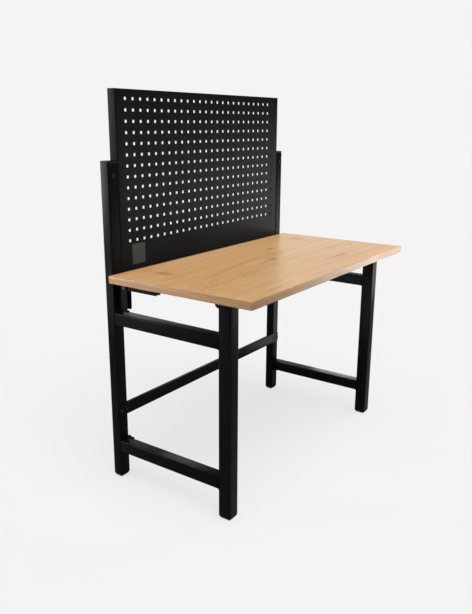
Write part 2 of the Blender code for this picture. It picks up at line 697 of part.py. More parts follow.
def arm_screw_places(side):
    """Return the centres of a table arm's screws on the worktop's underside."""
    rear = PIVOT_Y + ARM_BEHIND_PIVOT
    return [(side * BRACKET_X, rear - inset, UNDERSIDE_Z) for inset in ARM_SCREW_INSETS]


def make_worktop_board():
    """Add the board and the band around its edge."""
    rear = FRONT_Y - TOP_TO_PANEL
    middle = rear - TOP_DEPTH / 2
    skin = 2 * (EDGE_BAND + SEAT)
    low = (-(TOP_WIDTH - skin) / 2, middle - (TOP_DEPTH - skin) / 2, UNDERSIDE_Z)
    high = (-low[0], middle + (TOP_DEPTH - skin) / 2, TOP_HEIGHT)
    tabletop = add_object("tabletop", block_mesh(low, high), OAK_TOP)
    places = [place for side in SIDES.values() for place in arm_screw_places(side)]
    holes = rods_mesh(places, (0, 0, 1), clear_radius(SCREW_RADIUS, HEX), SCREW_BITE * 2.2, HEX)
    cut(tabletop, "pilot_holes", holes)
    outer = rounded_rectangle(TOP_WIDTH, TOP_DEPTH, [0] * 4)
    inner = rounded_rectangle(TOP_WIDTH - 2 * EDGE_BAND, TOP_DEPTH - 2 * EDGE_BAND, [0] * 4)
    band = add_object("edge_band", outline_mesh([outer, inner], TOP_THICKNESS), OAK_EDGE)
    band.location = (0.0, middle, UNDERSIDE_Z + TOP_THICKNESS / 2)
    return [tabletop, band]


def make_table_arm(name, side):
    """Add the channel that is screwed under the worktop and turns on the pivot bolt."""
    rear = PIVOT_Y + ARM_BEHIND_PIVOT
    front = rear - ARM_LENGTH
    top = UNDERSIDE_Z - SEAT
    middle = side * BRACKET_X
    half = ARM_WIDTH / 2

    def build(form):
        add_block(form, (middle - half, front, top - ARM_HEIGHT), (middle + half, rear, top))
        open_sides = [face for face in form.faces
                      if abs(face.normal.y) > 0.9 or face.normal.z < -0.9]
        bmesh.ops.delete(form, geom=open_sides, context="FACES_ONLY")

    arm = add_object(f"{name}_table_arm", mesh_from(build), FRAME_PAINT)
    bend = arm.modifiers.new("bend", "BEVEL")
    bend.width = ARM_SHEET * 1.2
    bend.segments = 2
    add_sheet(arm, ARM_SHEET)
    outline = rounded_rectangle(ARM_LENGTH, ARM_HEIGHT + 2 * FIT, [ARM_FRONT_RADIUS, ARM_REAR_RADIUS, 0, 0])
    profile = outline_mesh([outline], 2 * BRACKET_WIDTH)
    place_side_profile(profile, middle, (front + rear) / 2, top - ARM_HEIGHT / 2 + FIT)
    combine(arm, add_cutter(f"{name}_arm_outline", profile), "INTERSECT")
    drill(arm, f"{name}_arm_pivot_hole", [(middle, PIVOT_Y, PIVOT_Z)], (1, 0, 0), PIVOT_RADIUS,
          2 * BRACKET_WIDTH)
    drill(arm, f"{name}_arm_screw_holes", arm_screw_places(side), (0, 0, 1), SCREW_RADIUS, ARM_HEIGHT / 2)
    return arm


def make_leg_stop(name, side):
    """Add the plastic stop behind a leg's top."""
    front = LEG_REAR_Y + STOP_GAP
    middle = front + STOP_DEPTH / 2
    top = UNDERSIDE_Z - SEAT
    outline = [(-STOP_DEPTH / 2, -STOP_HEIGHT / 2), (STOP_DEPTH / 2 - STOP_CHAMFER, -STOP_HEIGHT / 2),
               (STOP_DEPTH / 2, -STOP_HEIGHT / 2 + STOP_CHAMFER), (STOP_DEPTH / 2, STOP_HEIGHT / 2),
               (-STOP_DEPTH / 2, STOP_HEIGHT / 2)]
    mesh = place_side_profile(outline_mesh([outline], STOP_WIDTH), side * TUBE_X, middle, top - STOP_HEIGHT / 2)
    return add_object(f"{name}_leg_stop", mesh, BLACK_PLASTIC)


def make_worktop():
    """Add everything that lifts with the worktop."""
    pieces = make_worktop_board()
    screw = bolt_mesh(SCREW_HEAD_RADIUS, SCREW_HEAD_HEIGHT, SCREW_RADIUS, ARM_SHEET + SCREW_BITE)
    for name, side in SIDES.items():
        pieces += [make_table_arm(name, side), make_leg_stop(name, side)]
        for label, (x, y, z) in zip(("rear", "front"), arm_screw_places(side)):
            seat = (x, y, z - SEAT - ARM_SHEET - SEAT)
            pieces.append(add_copy(f"{name}_arm_screw_{label}", screw, seat, (0, 0, -1), BLACK_STEEL))
    stand_on_axis("worktop_axis", (0.0, PIVOT_Y, PIVOT_Z), pieces)


def main():
    """Build the whole bench."""
    for name, side in SIDES.items():
        make_upright(name, side)
        make_table_bracket(name, side)
        make_leg_frame(name, side)
    make_pegboard()
    make_cross_brace()
    make_rear_fasteners()
    make_pivots()
    make_worktop()
    print(f"bench height {PANEL_TOP:.3f} m, worktop height {TOP_HEIGHT:.3f} m")


main()
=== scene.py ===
"""Dresses the folding workbench with pegboard: fine meshes, finishes, a plain studio and the camera."""

from __future__ import annotations

import logging
import math
from dataclasses import dataclass, field
from enum import Enum
from typing import Any, Callable, Sequence

import bmesh
import bpy
import numpy as np
from mathutils import Matrix, Vector

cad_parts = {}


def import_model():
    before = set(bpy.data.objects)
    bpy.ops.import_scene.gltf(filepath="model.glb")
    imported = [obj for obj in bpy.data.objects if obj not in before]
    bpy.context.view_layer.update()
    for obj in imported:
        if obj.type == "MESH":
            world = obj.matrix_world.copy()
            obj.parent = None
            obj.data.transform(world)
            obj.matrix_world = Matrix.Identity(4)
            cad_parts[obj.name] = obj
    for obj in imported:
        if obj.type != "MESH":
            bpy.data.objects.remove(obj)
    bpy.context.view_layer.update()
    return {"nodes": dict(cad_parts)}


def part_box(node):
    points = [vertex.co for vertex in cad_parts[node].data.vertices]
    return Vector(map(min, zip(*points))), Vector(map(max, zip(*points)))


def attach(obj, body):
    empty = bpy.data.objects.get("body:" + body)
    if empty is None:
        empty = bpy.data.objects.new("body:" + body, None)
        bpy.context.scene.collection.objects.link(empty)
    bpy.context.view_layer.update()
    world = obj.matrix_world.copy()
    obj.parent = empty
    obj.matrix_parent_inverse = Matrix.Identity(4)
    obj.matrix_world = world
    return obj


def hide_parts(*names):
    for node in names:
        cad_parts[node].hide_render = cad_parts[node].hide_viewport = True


Array = np.ndarray
Colour = tuple[float, float, float]
Point = tuple[float, float, float]
Pairs = Sequence[tuple[float, float]]

LOG = logging.getLogger("folding_workbench")

QUARTER = math.pi / 2

# Points nearer than this are one
MERGE_DISTANCE = 0.000002

# Radius at which a turned profile ends beside its axis
NEAR_AXIS = 0.0001

# Least share of its radius that a drawn-in corner keeps
SHARPEST_CORNER = 0.08

# Segments in a tube's corner, and in a rounded edge or dome
CORNER_STEPS = 8
ROUND_STEPS = 6

# Height of the photograph in pixels
IMAGE_HEIGHT = 614


class Side(Enum):
    """The bench's two sides, as its user sees them."""

    LEFT = -1
    RIGHT = 1

    @property
    def word(self) -> str:
        """The side's name in node names."""
        return self.name.lower()

    def outermost(self, low: Array, high: Array) -> float:
        """The x of a box's outer face on this side."""
        return high[0] if self is Side.RIGHT else low[0]


class Level(Enum):
    """Heights at which a leg frame is hinged."""

    UPPER = "upper"
    LOWER = "lower"


class Body(Enum):
    """Rigid bodies of the bench."""

    REAR_FRAME = "rear_frame"
    LEFT_LEG_FRAME = "left_leg_frame"
    RIGHT_LEG_FRAME = "right_leg_frame"
    WORKTOP = "worktop"

    @classmethod
    def leg_frame(cls, side: Side) -> "Body":
        """The leg frame on one side."""
        return cls.LEFT_LEG_FRAME if side is Side.LEFT else cls.RIGHT_LEG_FRAME


class Axis(Enum):
    """The direction in which a loft runs, with the directions of its outline."""

    X = (1, 2, 0)
    Y = (2, 0, 1)
    Z = (0, 1, 2)

    @property
    def run(self) -> int:
        """The number of the run's direction."""
        return self.value[2]

    def place(self, first: Array, second: Array, along: Array) -> Array:
        """Put two outline coordinates and a run coordinate on the world's axes.

        Args:
            first: Outline coordinate along the first direction.
            second: Outline coordinate along the second direction.
            along: Coordinate along the run.

        Returns:
            The points, with the coordinates in the last dimension.
        """
        points = np.empty(np.broadcast(first, second, along).shape + (3,))
        for place, values in zip(self.value, (first, second, along)):
            points[..., place] = values
        return points


def to_linear(code: str) -> Colour:
    """Turn a written colour such as C89B68 into linear red, green and blue.

    Args:
        code: Six hexadecimal digits.

    Returns:
        The linear colour.
    """
    values = np.array([int(code[place:place + 2], 16) for place in (0, 2, 4)]) / 255
    linear = np.where(values <= 0.04045, values / 12.92, ((values + 0.055) / 1.055) ** 2.4)
    return tuple(float(value) for value in linear)


def add_object(name: str, data: Any) -> bpy.types.Object:
    """Put a new object into the scene.

    Args:
        name: The object's name.
        data: Its mesh, lamp or camera.

    Returns:
        The object.
    """
    item = bpy.data.objects.new(name, data)
    bpy.context.scene.collection.objects.link(item)
    return item


# Meshes worked out as arrays


def unit(vectors: Array) -> Array:
    """The vectors' directions, each of length 1."""
    return vectors / np.linalg.norm(vectors, axis=-1, keepdims=True)


def rounded_outline(width: float, height: float, radius: float, steps: int) -> Array:
    """Outline of a rectangle whose corners are quarter circles, anticlockwise.

    Each corner's point is its circle's centre plus the radius times (cos t, sin t), with t over a
    quarter turn.

    Args:
        width: Size along the first direction.
        height: Size along the second direction.
        radius: Corner radius.
        steps: Segments in each corner.

    Returns:
        Points of shape (4 * (steps + 1), 2).
    """
    turns = np.linspace(0.0, QUARTER, steps + 1)[None, :] + np.arange(4)[:, None] * QUARTER
    signs = np.array([(1, 1), (-1, 1), (-1, -1), (1, -1)], float)
    centres = signs * (np.array([width, height]) / 2 - radius)
    arcs = centres[:, None, :] + radius * np.stack([np.cos(turns), np.sin(turns)], axis=-1)
    return arcs.reshape(-1, 2)


def four_fold(quarter: Array) -> Array:
    """Repeat a quarter of an outline at four quarter turns.

    Args:
        quarter: Points of shape (points, 2).

    Returns:
        Points of shape (4 * points, 2).
    """
    spins = [np.array([[c, -s], [s, c]]) for c, s in ((1, 0), (0, 1), (-1, 0), (0, -1))]
    return np.concatenate([quarter @ spin.T for spin in spins])


def quarter_round(along: float, inset: float, steps: int, last: float = QUARTER) -> Array:
    """Stations of a rounded edge: along times (1 - cos t), and inset times (1 - sin t).

    Args:
        along: The rounding's size along the run.
        inset: The rounding's size across the run.
        steps: Segments of the curve.
        last: The last t, a quarter turn for a whole edge.

    Returns:
        Pairs of a distance along the run and an inset, of shape (steps + 1, 2).
    """
    turn = np.linspace(0.0, last, steps + 1)
    return np.stack([along * (1 - np.cos(turn)), inset * (1 - np.sin(turn))], axis=-1)


def edge_stations(low: float, high: float, rounding: float, steps: int) -> Array:
    """Stations of a run whose two ends are rounded: insets follow a quarter circle at each end.

    Args:
        low: Start of the run.
        high: End of the run.
        rounding: Radius of the rounding.
        steps: Segments in each rounding.

    Returns:
        Pairs of a distance along the run and an inset.
    """
    curve = quarter_round(rounding, rounding, steps)
    return np.concatenate([curve + [low, 0.0], curve[::-1] * [-1.0, 1.0] + [high, 0.0]])


def lofted_rings(outline: Callable[[float], Array], stations: Array, axis: Axis, centre: Any) -> Array:
    """Rings of a loft: one outline for each station, drawn in by the station's inset.

    Args:
        outline: Gives the outline's points for an inset.
        stations: Pairs of a distance along the run and an inset.
        axis: The run's direction.
        centre: World place of the loft's zero.

    Returns:
        Points of shape (stations, outline points, 3).
    """
    rings = []
    for along, inset in stations:
        points = outline(inset)
        rings.append(axis.place(points[:, 0], points[:, 1], np.full(len(points), along)))
    return np.stack(rings) + np.asarray(centre)


def box_rings(low: Any, high: Any, axis: Axis, stations: Array, corner: float, steps: int,
              from_low: bool = True, kept: bool = False) -> Array:
    """Rings of a loft in a box, whose outline is a rectangle with rounded corners.

    Args:
        low: The box's lowest corner.
        high: The box's highest corner.
        axis: The run's direction.
        stations: Pairs of a distance from the box's end and an inset.
        corner: Corner radius where the inset is zero.
        steps: Segments in each corner.
        from_low: Whether distances count up from the box's low end, or down from its high end.
        kept: Whether the corners keep their radius, or lose the inset from it.

    Returns:
        Points of shape (stations, outline points, 3).
    """
    low, high = np.array(low, float), np.array(high, float)
    across = list(axis.value[:2])
    centre = (low + high) / 2
    centre[axis.run] = low[axis.run] if from_low else high[axis.run]

    def outline(inset: float) -> Array:
        """The rectangle, drawn in by an inset."""
        width, height = (high - low)[across] - 2 * inset
        radius = corner if kept else max(corner - inset, corner * SHARPEST_CORNER)
        return rounded_outline(width, height, radius, steps)

    return lofted_rings(outline, stations * [1 if from_low else -1, 1], axis, centre)


def turned_rings(profile: Pairs, segments: int, axis: Axis, centre: Any, direction: float = 1.0) -> Array:
    """Rings of a turned body: radius times (cos t, sin t) at each height of the profile.

    Args:
        profile: Pairs of radius and height.
        segments: Points round each ring.
        axis: The axis of turning.
        centre: World place of the profile's zero.
        direction: 1 or -1, the way the heights run along the axis.

    Returns:
        Points of shape (profile points, segments, 3).
    """
    radius, height = np.array(profile, float).T
    turn = np.linspace(0.0, 2 * math.pi, segments, endpoint=False)
    first = radius[:, None] * np.cos(turn)
    second = radius[:, None] * np.sin(turn)
    along = np.broadcast_to(direction * height[:, None], first.shape)
    return axis.place(first, second, along) + np.asarray(centre)


@dataclass
class Form:
    """A mesh that grows from lofts, in world coordinates."""

    vertices: list[Array] = field(default_factory=list)
    faces: list[tuple[int, ...]] = field(default_factory=list)
    count: int = 0

    def add_points(self, points: Array) -> int:
        """Add points.

        Args:
            points: Points, with the coordinates in the last dimension.

        Returns:
            The number of the first.
        """
        start = self.count
        self.vertices.append(points.reshape(-1, 3))
        self.count += len(self.vertices[-1])
        return start

    def add_faces(self, corners: Array) -> None:
        """Add faces, with the numbers of their corners in the last dimension."""
        self.faces.extend(map(tuple, corners.reshape(-1, corners.shape[-1]).tolist()))

    def fan(self, ring: Array, first: int) -> None:
        """Close a ring with a fan round its middle.

        Args:
            ring: The ring's points.
            first: The number of the ring's first point.
        """
        middle = self.add_points(ring.mean(axis=0))
        around = np.arange(len(ring))
        following = (around + 1) % len(ring)
        self.add_faces(np.stack([np.full(len(ring), middle), first + around, first + following], axis=-1))

    def loft(self, rings: Array, capped: bool = True) -> "Form":
        """Join closed rings by quads, and close the two ends.

        Args:
            rings: Points of shape (rings, points, 3), or (lofts, rings, points, 3) for open lofts.
            capped: Whether the ends of a single loft are closed.

        Returns:
            The form itself.
        """
        lofts = rings.reshape(-1, *rings.shape[-3:])
        count, rows, columns = lofts.shape[:3]
        start = self.add_points(lofts)
        loft, row, column = np.meshgrid(*map(np.arange, (count, rows - 1, columns)), indexing="ij")
        near = start + (loft * rows + row) * columns
        following = (column + 1) % columns
        far = near + columns
        self.add_faces(np.stack([near + column, near + following, far + following, far + column], axis=-1))
        if capped:
            self.fan(rings[0], start)
            self.fan(rings[-1], start + (rows - 1) * columns)
        return self

    def tunnel(self, rings: Array) -> "Form":
        """Join closed rings by quads, and the last ring to the first, as in a frame or a nut."""
        return self.loft(np.concatenate([rings, rings[:1]]), capped=False)

    def block(self, low: Any, high: Any, rounding: float, steps: int) -> "Form":
        """Add a box with rounded edges, lofted along Z.

        Args:
            low: Lowest corner.
            high: Highest corner.
            rounding: Radius of the edges.
            steps: Segments in each rounding.

        Returns:
            The form itself.
        """
        stations = edge_stations(0.0, high[2] - low[2], rounding, steps)
        return self.loft(box_rings(low, high, Axis.Z, stations, rounding, steps))

    def build(self, name: str, smooth_angle: float = 40.0) -> bpy.types.Object:
        """Make the object, with its doubles merged, its faces out and its hard edges kept.

        Args:
            name: The piece's name.
            smooth_angle: Edges sharper than this many degrees stay hard.

        Returns:
            The new object, linked to the scene.
        """
        mesh = bpy.data.meshes.new(name)
        mesh.from_pydata(np.concatenate(self.vertices).tolist(), [], self.faces)
        work = bmesh.new()
        work.from_mesh(mesh)
        bmesh.ops.remove_doubles(work, verts=work.verts, dist=MERGE_DISTANCE)
        bmesh.ops.recalc_face_normals(work, faces=work.faces)
        work.to_mesh(mesh)
        work.free()
        mesh.shade_smooth()
        mesh.set_sharp_from_angle(angle=math.radians(smooth_angle))
        return add_object(name, mesh)


# Shader graphs


class Value:
    """A shader socket that takes part in Python expressions."""

    def __init__(self, graph: "Graph", socket: Any) -> None:
        """Keep the graph and its socket."""
        self.graph = graph
        self.socket = socket

    def _math(self, operation: str, *values: Any) -> "Value":
        """Add a Math node for the values."""
        return self.graph.node("ShaderNodeMath", {"operation": operation}, dict(enumerate(values)))

    def __add__(self, other: Any) -> "Value":
        """Sum."""
        return self._math("ADD", self, other)

    __radd__ = __add__

    def __sub__(self, other: Any) -> "Value":
        """Difference."""
        return self._math("SUBTRACT", self, other)

    def __rsub__(self, other: Any) -> "Value":
        """Difference from a number."""
        return self._math("SUBTRACT", other, self)

    def __mul__(self, other: Any) -> "Value":
        """Product."""
        return self._math("MULTIPLY", self, other)

    __rmul__ = __mul__

    def __truediv__(self, other: Any) -> "Value":
        """Quotient."""
        return self._math("DIVIDE", self, other)

    def __pow__(self, other: float) -> "Value":
        """Power."""
        return self._math("POWER", self, other)

    def bell(self, width: float) -> "Value":
        """A bell curve, e to the power of minus the square of the value over the width."""
        return self._math("POWER", math.e, -1.0 * (self / width) ** 2.0)

    def ramp(self, low: float, high: float) -> "Value":
        """Rise smoothly from 0 where the value is low to 1 where it is high."""
        return self.graph.node("ShaderNodeMapRange", {"interpolation_type": "SMOOTHSTEP"},
                               {"Value": self, "From Min": low, "From Max": high})


class Graph:
    """The nodes of a material or of the world."""

    def __init__(self, owner: bpy.types.Material | bpy.types.World) -> None:
        """Let a new material or world use nodes."""
        owner.use_nodes = True
        self.owner = owner
        self.tree = owner.node_tree

    def node(self, kind: str, settings: dict[str, Any] | None = None,
             inputs: dict[Any, Any] | None = None, output: Any = 0) -> Value:
        """Add any node.

        Args:
            kind: The node's type.
            settings: Properties, set first.
            inputs: Values or links by socket.
            output: The socket to return.

        Returns:
            The node's output.
        """
        item = self.tree.nodes.new(kind)
        for key, value in (settings or {}).items():
            setattr(item, key, value)
        for key, value in (inputs or {}).items():
            self._connect(item.inputs[key], value)
        return Value(self, item.outputs[output])

    def _connect(self, socket: Any, value: Any) -> None:
        """Link a value to a socket, or set the socket.

        Args:
            socket: The input socket.
            value: What to link, or a number, vector or colour.
        """
        if isinstance(value, Value):
            self.tree.links.new(value.socket, socket)
        elif socket.type == "RGBA":
            socket.default_value = (*value, 1.0)
        else:
            socket.default_value = value

    def surface(self, **inputs: Any) -> bpy.types.Material:
        """Set the Principled shader's sockets.

        Args:
            inputs: Values or links by socket, named with an underscore for each space.

        Returns:
            The material.
        """
        sockets = self.tree.nodes["Principled BSDF"].inputs
        for key, value in inputs.items():
            self._connect(sockets[key.replace("_", " ").title().replace("Ior", "IOR")], value)
        return self.owner

    def principled(self) -> Value:
        """The Principled shader of a material."""
        return Value(self, self.tree.nodes["Principled BSDF"].outputs[0])

    def mix(self, factor: Value, first: Value, second: Value) -> Value:
        """Mix two shaders."""
        return self.node("ShaderNodeMixShader", inputs={0: factor, 1: first, 2: second})

    def show(self, shader: Value) -> None:
        """Link a shader to the output."""
        output = next(item for item in self.tree.nodes if item.bl_idname.startswith("ShaderNodeOutput"))
        self.tree.links.new(shader.socket, output.inputs["Surface"])

    def ray(self, kind: str) -> Value:
        """One for rays of a kind, such as Camera, and otherwise zero."""
        return self.node("ShaderNodeLightPath", output=f"Is {kind} Ray")

    def place(self) -> Value:
        """Object coordinates."""
        return self.node("ShaderNodeTexCoord", output="Object")

    def split(self, vector: Value) -> tuple[Value, ...]:
        """The three parts of a vector."""
        parts = self.node("ShaderNodeSeparateXYZ", inputs={0: vector})
        return tuple(Value(self, output) for output in parts.socket.node.outputs)

    def join(self, x: Any, y: Any, z: Any) -> Value:
        """A vector from its parts."""
        return self.node("ShaderNodeCombineXYZ", inputs={0: x, 1: y, 2: z})

    def noise(self, vector: Value, detail: float, roughness: float = 0.5, distortion: float = 0.0) -> Value:
        """Noise between about 0 and 1."""
        inputs = {"Vector": vector, "Scale": 1.0, "Detail": detail, "Roughness": roughness,
                  "Distortion": distortion}
        return self.node("ShaderNodeTexNoise", inputs=inputs)

    def speckle(self, waves: float | Point, shift: Point = (0.0, 0.0, 0.0), detail: float = 2.0,
                roughness: float = 0.5) -> Value:
        """Noise on object coordinates.

        Args:
            waves: Waves to the metre, in all directions or in each.
            shift: Where in the noise the piece lies.
            detail: Octaves of the noise.
            roughness: Strength of each finer octave.

        Returns:
            The noise, between about 0 and 1.
        """
        scale = waves if isinstance(waves, tuple) else (waves,) * 3
        place = self.node("ShaderNodeMapping",
                          inputs={"Vector": self.place(), "Scale": scale, "Location": shift})
        return self.noise(place, detail, roughness)

    def blend(self, factor: Any, first: Any, second: Any) -> Value:
        """Mix two colours."""
        return self.node("ShaderNodeMix", {"data_type": "RGBA"}, {0: factor, 6: first, 7: second}, output=2)

    def bump(self, height: Value, distance: float) -> Value:
        """A bump from a height."""
        return self.node("ShaderNodeBump", inputs={"Height": height, "Distance": distance})


def brightened(colour: Colour, gain: float, lift: float = 0.0) -> Colour:
    """A colour times a gain, plus a lift."""
    return tuple(channel * gain + lift for channel in colour)


@dataclass(frozen=True)
class PowderCoat:
    """Fine-grained satin black powder coat."""

    name: str
    colour: Colour
    roughness: float = 0.30
    gloss: float = 0.030
    grain: float = 0.0011
    peel_waves: float = 180.0
    cloud_waves: float = 9.0
    relief: float = 0.00003

    def make(self) -> bpy.types.Material:
        """Build the material: two scales of orange peel, faint clouding of tone and of gloss."""
        graph = Graph(bpy.data.materials.new(self.name))
        fine = graph.speckle(1 / self.grain)
        peel = graph.speckle(self.peel_waves, (3.1, 7.7, 1.3))
        cloud = graph.speckle(self.cloud_waves, (0.7, 2.9, 5.1), 3.0)
        tone = graph.blend(cloud.ramp(0.35, 0.7) * 0.6 + fine.ramp(0.5, 0.75) * 0.25, self.colour,
                           brightened(self.colour, 1.35, 0.0004))
        return graph.surface(
            base_color=tone, roughness=cloud * 0.08 + fine * 0.06 + (self.roughness - 0.07),
            specular_ior_level=self.gloss, normal=graph.bump(fine * 0.6 + peel * 0.8, self.relief))


@dataclass(frozen=True)
class Grain:
    """Noise drawn out along the wood's grain, with its waves to the metre along and across."""

    along: float
    across: float
    layer: float
    detail: float = 2.0
    roughness: float = 0.5
    distortion: float = 0.0

    def draw(self, graph: Graph, along: Value, across: Value) -> Value:
        """The noise at a place along and across the grain."""
        place = graph.join(along * self.along, across * self.across, self.layer)
        return graph.noise(place, self.detail, self.roughness, self.distortion)


@dataclass(frozen=True)
class Mark:
    """A soft dark mark in the decor: a knot, a mineral streak or the edge of a growth ring."""

    x: float
    y: float
    half_length: float
    half_width: float
    depth: float
    slope: float = 0.0


@dataclass(frozen=True)
class OakLaminate:
    """Oak decor of a laminate worktop, with its grain along X."""

    name: str
    pale: Colour = to_linear("E6BD8E")
    body: Colour = to_linear("DBA76B")
    deep: Colour = to_linear("A46A30")
    dark: Colour = to_linear("A05C34")
    roughness: float = 0.33
    gloss: float = 0.33
    relief: float = 0.00002
    sway: float = 0.10
    rings: Grain = Grain(0.45, 30.0, 0.0, 5.0, 0.6)
    patches: Grain = Grain(2.2, 14.0, 6.0)
    fibres: Grain = Grain(9.0, 420.0, 3.0, 3.0, 0.65)
    pores: Grain = Grain(42.0, 1300.0, 1.0, 1.0)
    curls: Grain = Grain(42.0, 85.0, 2.0, distortion=1.6)
    frayed: Grain = Grain(60.0, 220.0, 5.0, 3.0, 0.6)
    marks: tuple[Mark, ...] = (
        Mark(-0.447, 0.157, 0.022, 0.034, 0.75), Mark(-0.450, 0.078, 0.070, 0.005, 0.50),
        Mark(-0.270, 0.003, 0.220, 0.011, 0.44, 0.18), Mark(0.015, -0.022, 0.024, 0.010, 1.00),
        Mark(-0.035, -0.024, 0.050, 0.006, 0.45), Mark(0.190, 0.107, 0.022, 0.012, 0.95),
        Mark(0.235, -0.200, 0.130, 0.012, 0.42), Mark(0.255, -0.198, 0.040, 0.014, 0.34),
        Mark(-0.400, -0.286, 0.090, 0.009, 0.42), Mark(0.485, 0.147, 0.035, 0.034, 0.50),
        Mark(-0.110, -0.290, 0.030, 0.009, 0.42), Mark(-0.430, -0.226, 0.180, 0.012, 0.25),
        Mark(0.020, 0.045, 0.160, 0.006, 0.28), Mark(-0.150, 0.190, 0.200, 0.007, 0.22, -0.05),
    )
    flecked: Pairs = ((-0.490, -0.108), (-0.290, -0.100), (0.120, 0.040), (0.400, -0.090))
    flecked_length: float = 0.085
    flecked_width: float = 0.036

    def make(self) -> bpy.types.Material:
        """Build the material: cathedral rings, fibres, pores, flecks and marks under a satin film."""
        graph = Graph(bpy.data.materials.new(self.name))
        x, y, _ = graph.split(graph.place())
        across = y + (graph.speckle((1.3, 4.0, 1.0), (4.0, 1.0, 0.0), 3.0) - 0.5) * self.sway
        frayed = self.frayed.draw(graph, x, y)
        shade: Any = 0.0
        for mark in self.marks:
            away_x, away_y = x - mark.x, y - (x - mark.x) * mark.slope - mark.y
            shade = away_x.bell(mark.half_length) * away_y.bell(mark.half_width) * mark.depth + shade
            pushed = away_x.bell(mark.half_length * 1.8) * away_y.bell(mark.half_width * 2.5)
            across = across + away_y * pushed
        flecks: Any = 0.0
        for fleck_x, fleck_y in self.flecked:
            flecks = (x - fleck_x).bell(self.flecked_length) * (y - fleck_y).bell(self.flecked_width) + flecks
        rings = self.rings.draw(graph, x, across)
        patches = self.patches.draw(graph, x, across)
        fibres = self.fibres.draw(graph, x, across)
        pores = self.pores.draw(graph, x, y).ramp(0.61, 0.74)
        curls = self.curls.draw(graph, x, y)
        paler = rings.ramp(0.36, 0.64) * 0.55 + patches.ramp(0.35, 0.65) * 0.30
        tone = graph.blend(paler, self.body, self.pale)
        tone = graph.blend(fibres.ramp(0.50, 0.74) * 0.28, tone, self.deep)
        tone = graph.blend(pores * rings.ramp(0.66, 0.42) * 0.30, tone, self.deep)
        tone = graph.blend(curls.ramp(0.50, 0.62) * (flecks * 0.55 + 0.12), tone, self.deep)
        tone = graph.blend(curls.ramp(0.46, 0.36) * flecks * 0.45, tone, self.pale)
        tone = graph.blend(shade * (frayed * 0.9 + 0.35), tone, self.dark)
        return graph.surface(
            base_color=tone, roughness=pores * 0.10 + fibres * 0.05 + (self.roughness - 0.02),
            specular_ior_level=self.gloss, normal=graph.bump(0.5 - pores * 0.5 + rings * 0.1, self.relief))


@dataclass(frozen=True)
class EdgeBand:
    """Thin band of oak decor on a board's edge, with its grain along the edge."""

    name: str
    along_x: bool
    pale: Colour = to_linear("B5926D")
    deep: Colour = to_linear("98714B")
    roughness: float = 0.48
    gloss: float = 0.3
    relief: float = 0.00003
    streaks: Grain = Grain(2.2, 260.0, 2.0, 3.0, 0.6)
    pores: Grain = Grain(45.0, 1500.0, 5.0, 1.0)
    cloud: Grain = Grain(3.0, 8.0, 7.0)

    def make(self) -> bpy.types.Material:
        """Build the material: fine streaks along the edge and small pores."""
        graph = Graph(bpy.data.materials.new(self.name))
        x, y, z = graph.split(graph.place())
        run = x if self.along_x else y
        pores = self.pores.draw(graph, run, z).ramp(0.60, 0.75)
        cloud = self.cloud.draw(graph, run, z).ramp(0.35, 0.7)
        tone = graph.blend(self.streaks.draw(graph, run, z).ramp(0.36, 0.68), self.deep, self.pale)
        tone = graph.blend(cloud * 0.25 + pores * 0.25, tone, self.deep)
        return graph.surface(base_color=tone, roughness=self.roughness + pores * 0.1,
                             specular_ior_level=self.gloss, normal=graph.bump(0.5 - pores * 0.5, self.relief))


@dataclass(frozen=True)
class MouldedPlastic:
    """Injection-moulded black plastic with a spark-eroded texture."""

    name: str
    colour: Colour = (0.0045, 0.0045, 0.0048)
    roughness: float = 0.42
    gloss: float = 0.12
    pit_waves: float = 1400.0
    flow_waves: Point = (25.0, 25.0, 60.0)
    relief: float = 0.00004

    def make(self) -> bpy.types.Material:
        """Build the material: a fine pitted texture and faint flow marks."""
        graph = Graph(bpy.data.materials.new(self.name))
        pits = graph.speckle(self.pit_waves, roughness=0.6)
        flow = graph.speckle(self.flow_waves, (1.0, 4.0, 2.0))
        tone = graph.blend(flow.ramp(0.4, 0.7) * 0.5, self.colour, brightened(self.colour, 1.7))
        return graph.surface(base_color=tone, roughness=pits * 0.12 + flow * 0.06 + (self.roughness - 0.09),
                             specular_ior_level=self.gloss, normal=graph.bump(pits, self.relief))


@dataclass(frozen=True)
class BlackenedSteel:
    """Turned or pressed steel with a blackened skin."""

    name: str
    colour: Colour = (0.014, 0.014, 0.015)
    roughness: float = 0.44
    metallic: float = 0.35
    tool_waves: Point = (300.0, 300.0, 2600.0)
    cloud_waves: float = 160.0
    relief: float = 0.00002

    def make(self) -> bpy.types.Material:
        """Build the material: fine tool marks and a cloudy skin."""
        graph = Graph(bpy.data.materials.new(self.name))
        marks = graph.speckle(self.tool_waves)
        cloud = graph.speckle(self.cloud_waves, (2.0, 5.0, 1.0), 3.0)
        return graph.surface(
            base_color=graph.blend(cloud.ramp(0.3, 0.7), brightened(self.colour, 0.7), self.colour),
            roughness=marks * 0.12 + cloud * 0.14 + (self.roughness - 0.12),
            metallic=self.metallic, normal=graph.bump(marks, self.relief))


@dataclass(frozen=True)
class StickerFilm:
    """Plain film with nothing on it."""

    name: str
    colour: Colour = to_linear("373C39")
    roughness: float = 0.3
    gloss: float = 0.1
    ripple_waves: float = 60.0
    relief: float = 0.00006

    def make(self) -> bpy.types.Material:
        """Build the material: a plain film with a faint ripple."""
        graph = Graph(bpy.data.materials.new(self.name))
        ripple = graph.speckle(self.ripple_waves)
        tone = graph.blend(ripple.ramp(0.3, 0.7), self.colour, brightened(self.colour, 1.15))
        return graph.surface(base_color=tone, roughness=ripple * 0.1 + self.roughness,
                             specular_ior_level=self.gloss, normal=graph.bump(ripple, self.relief))


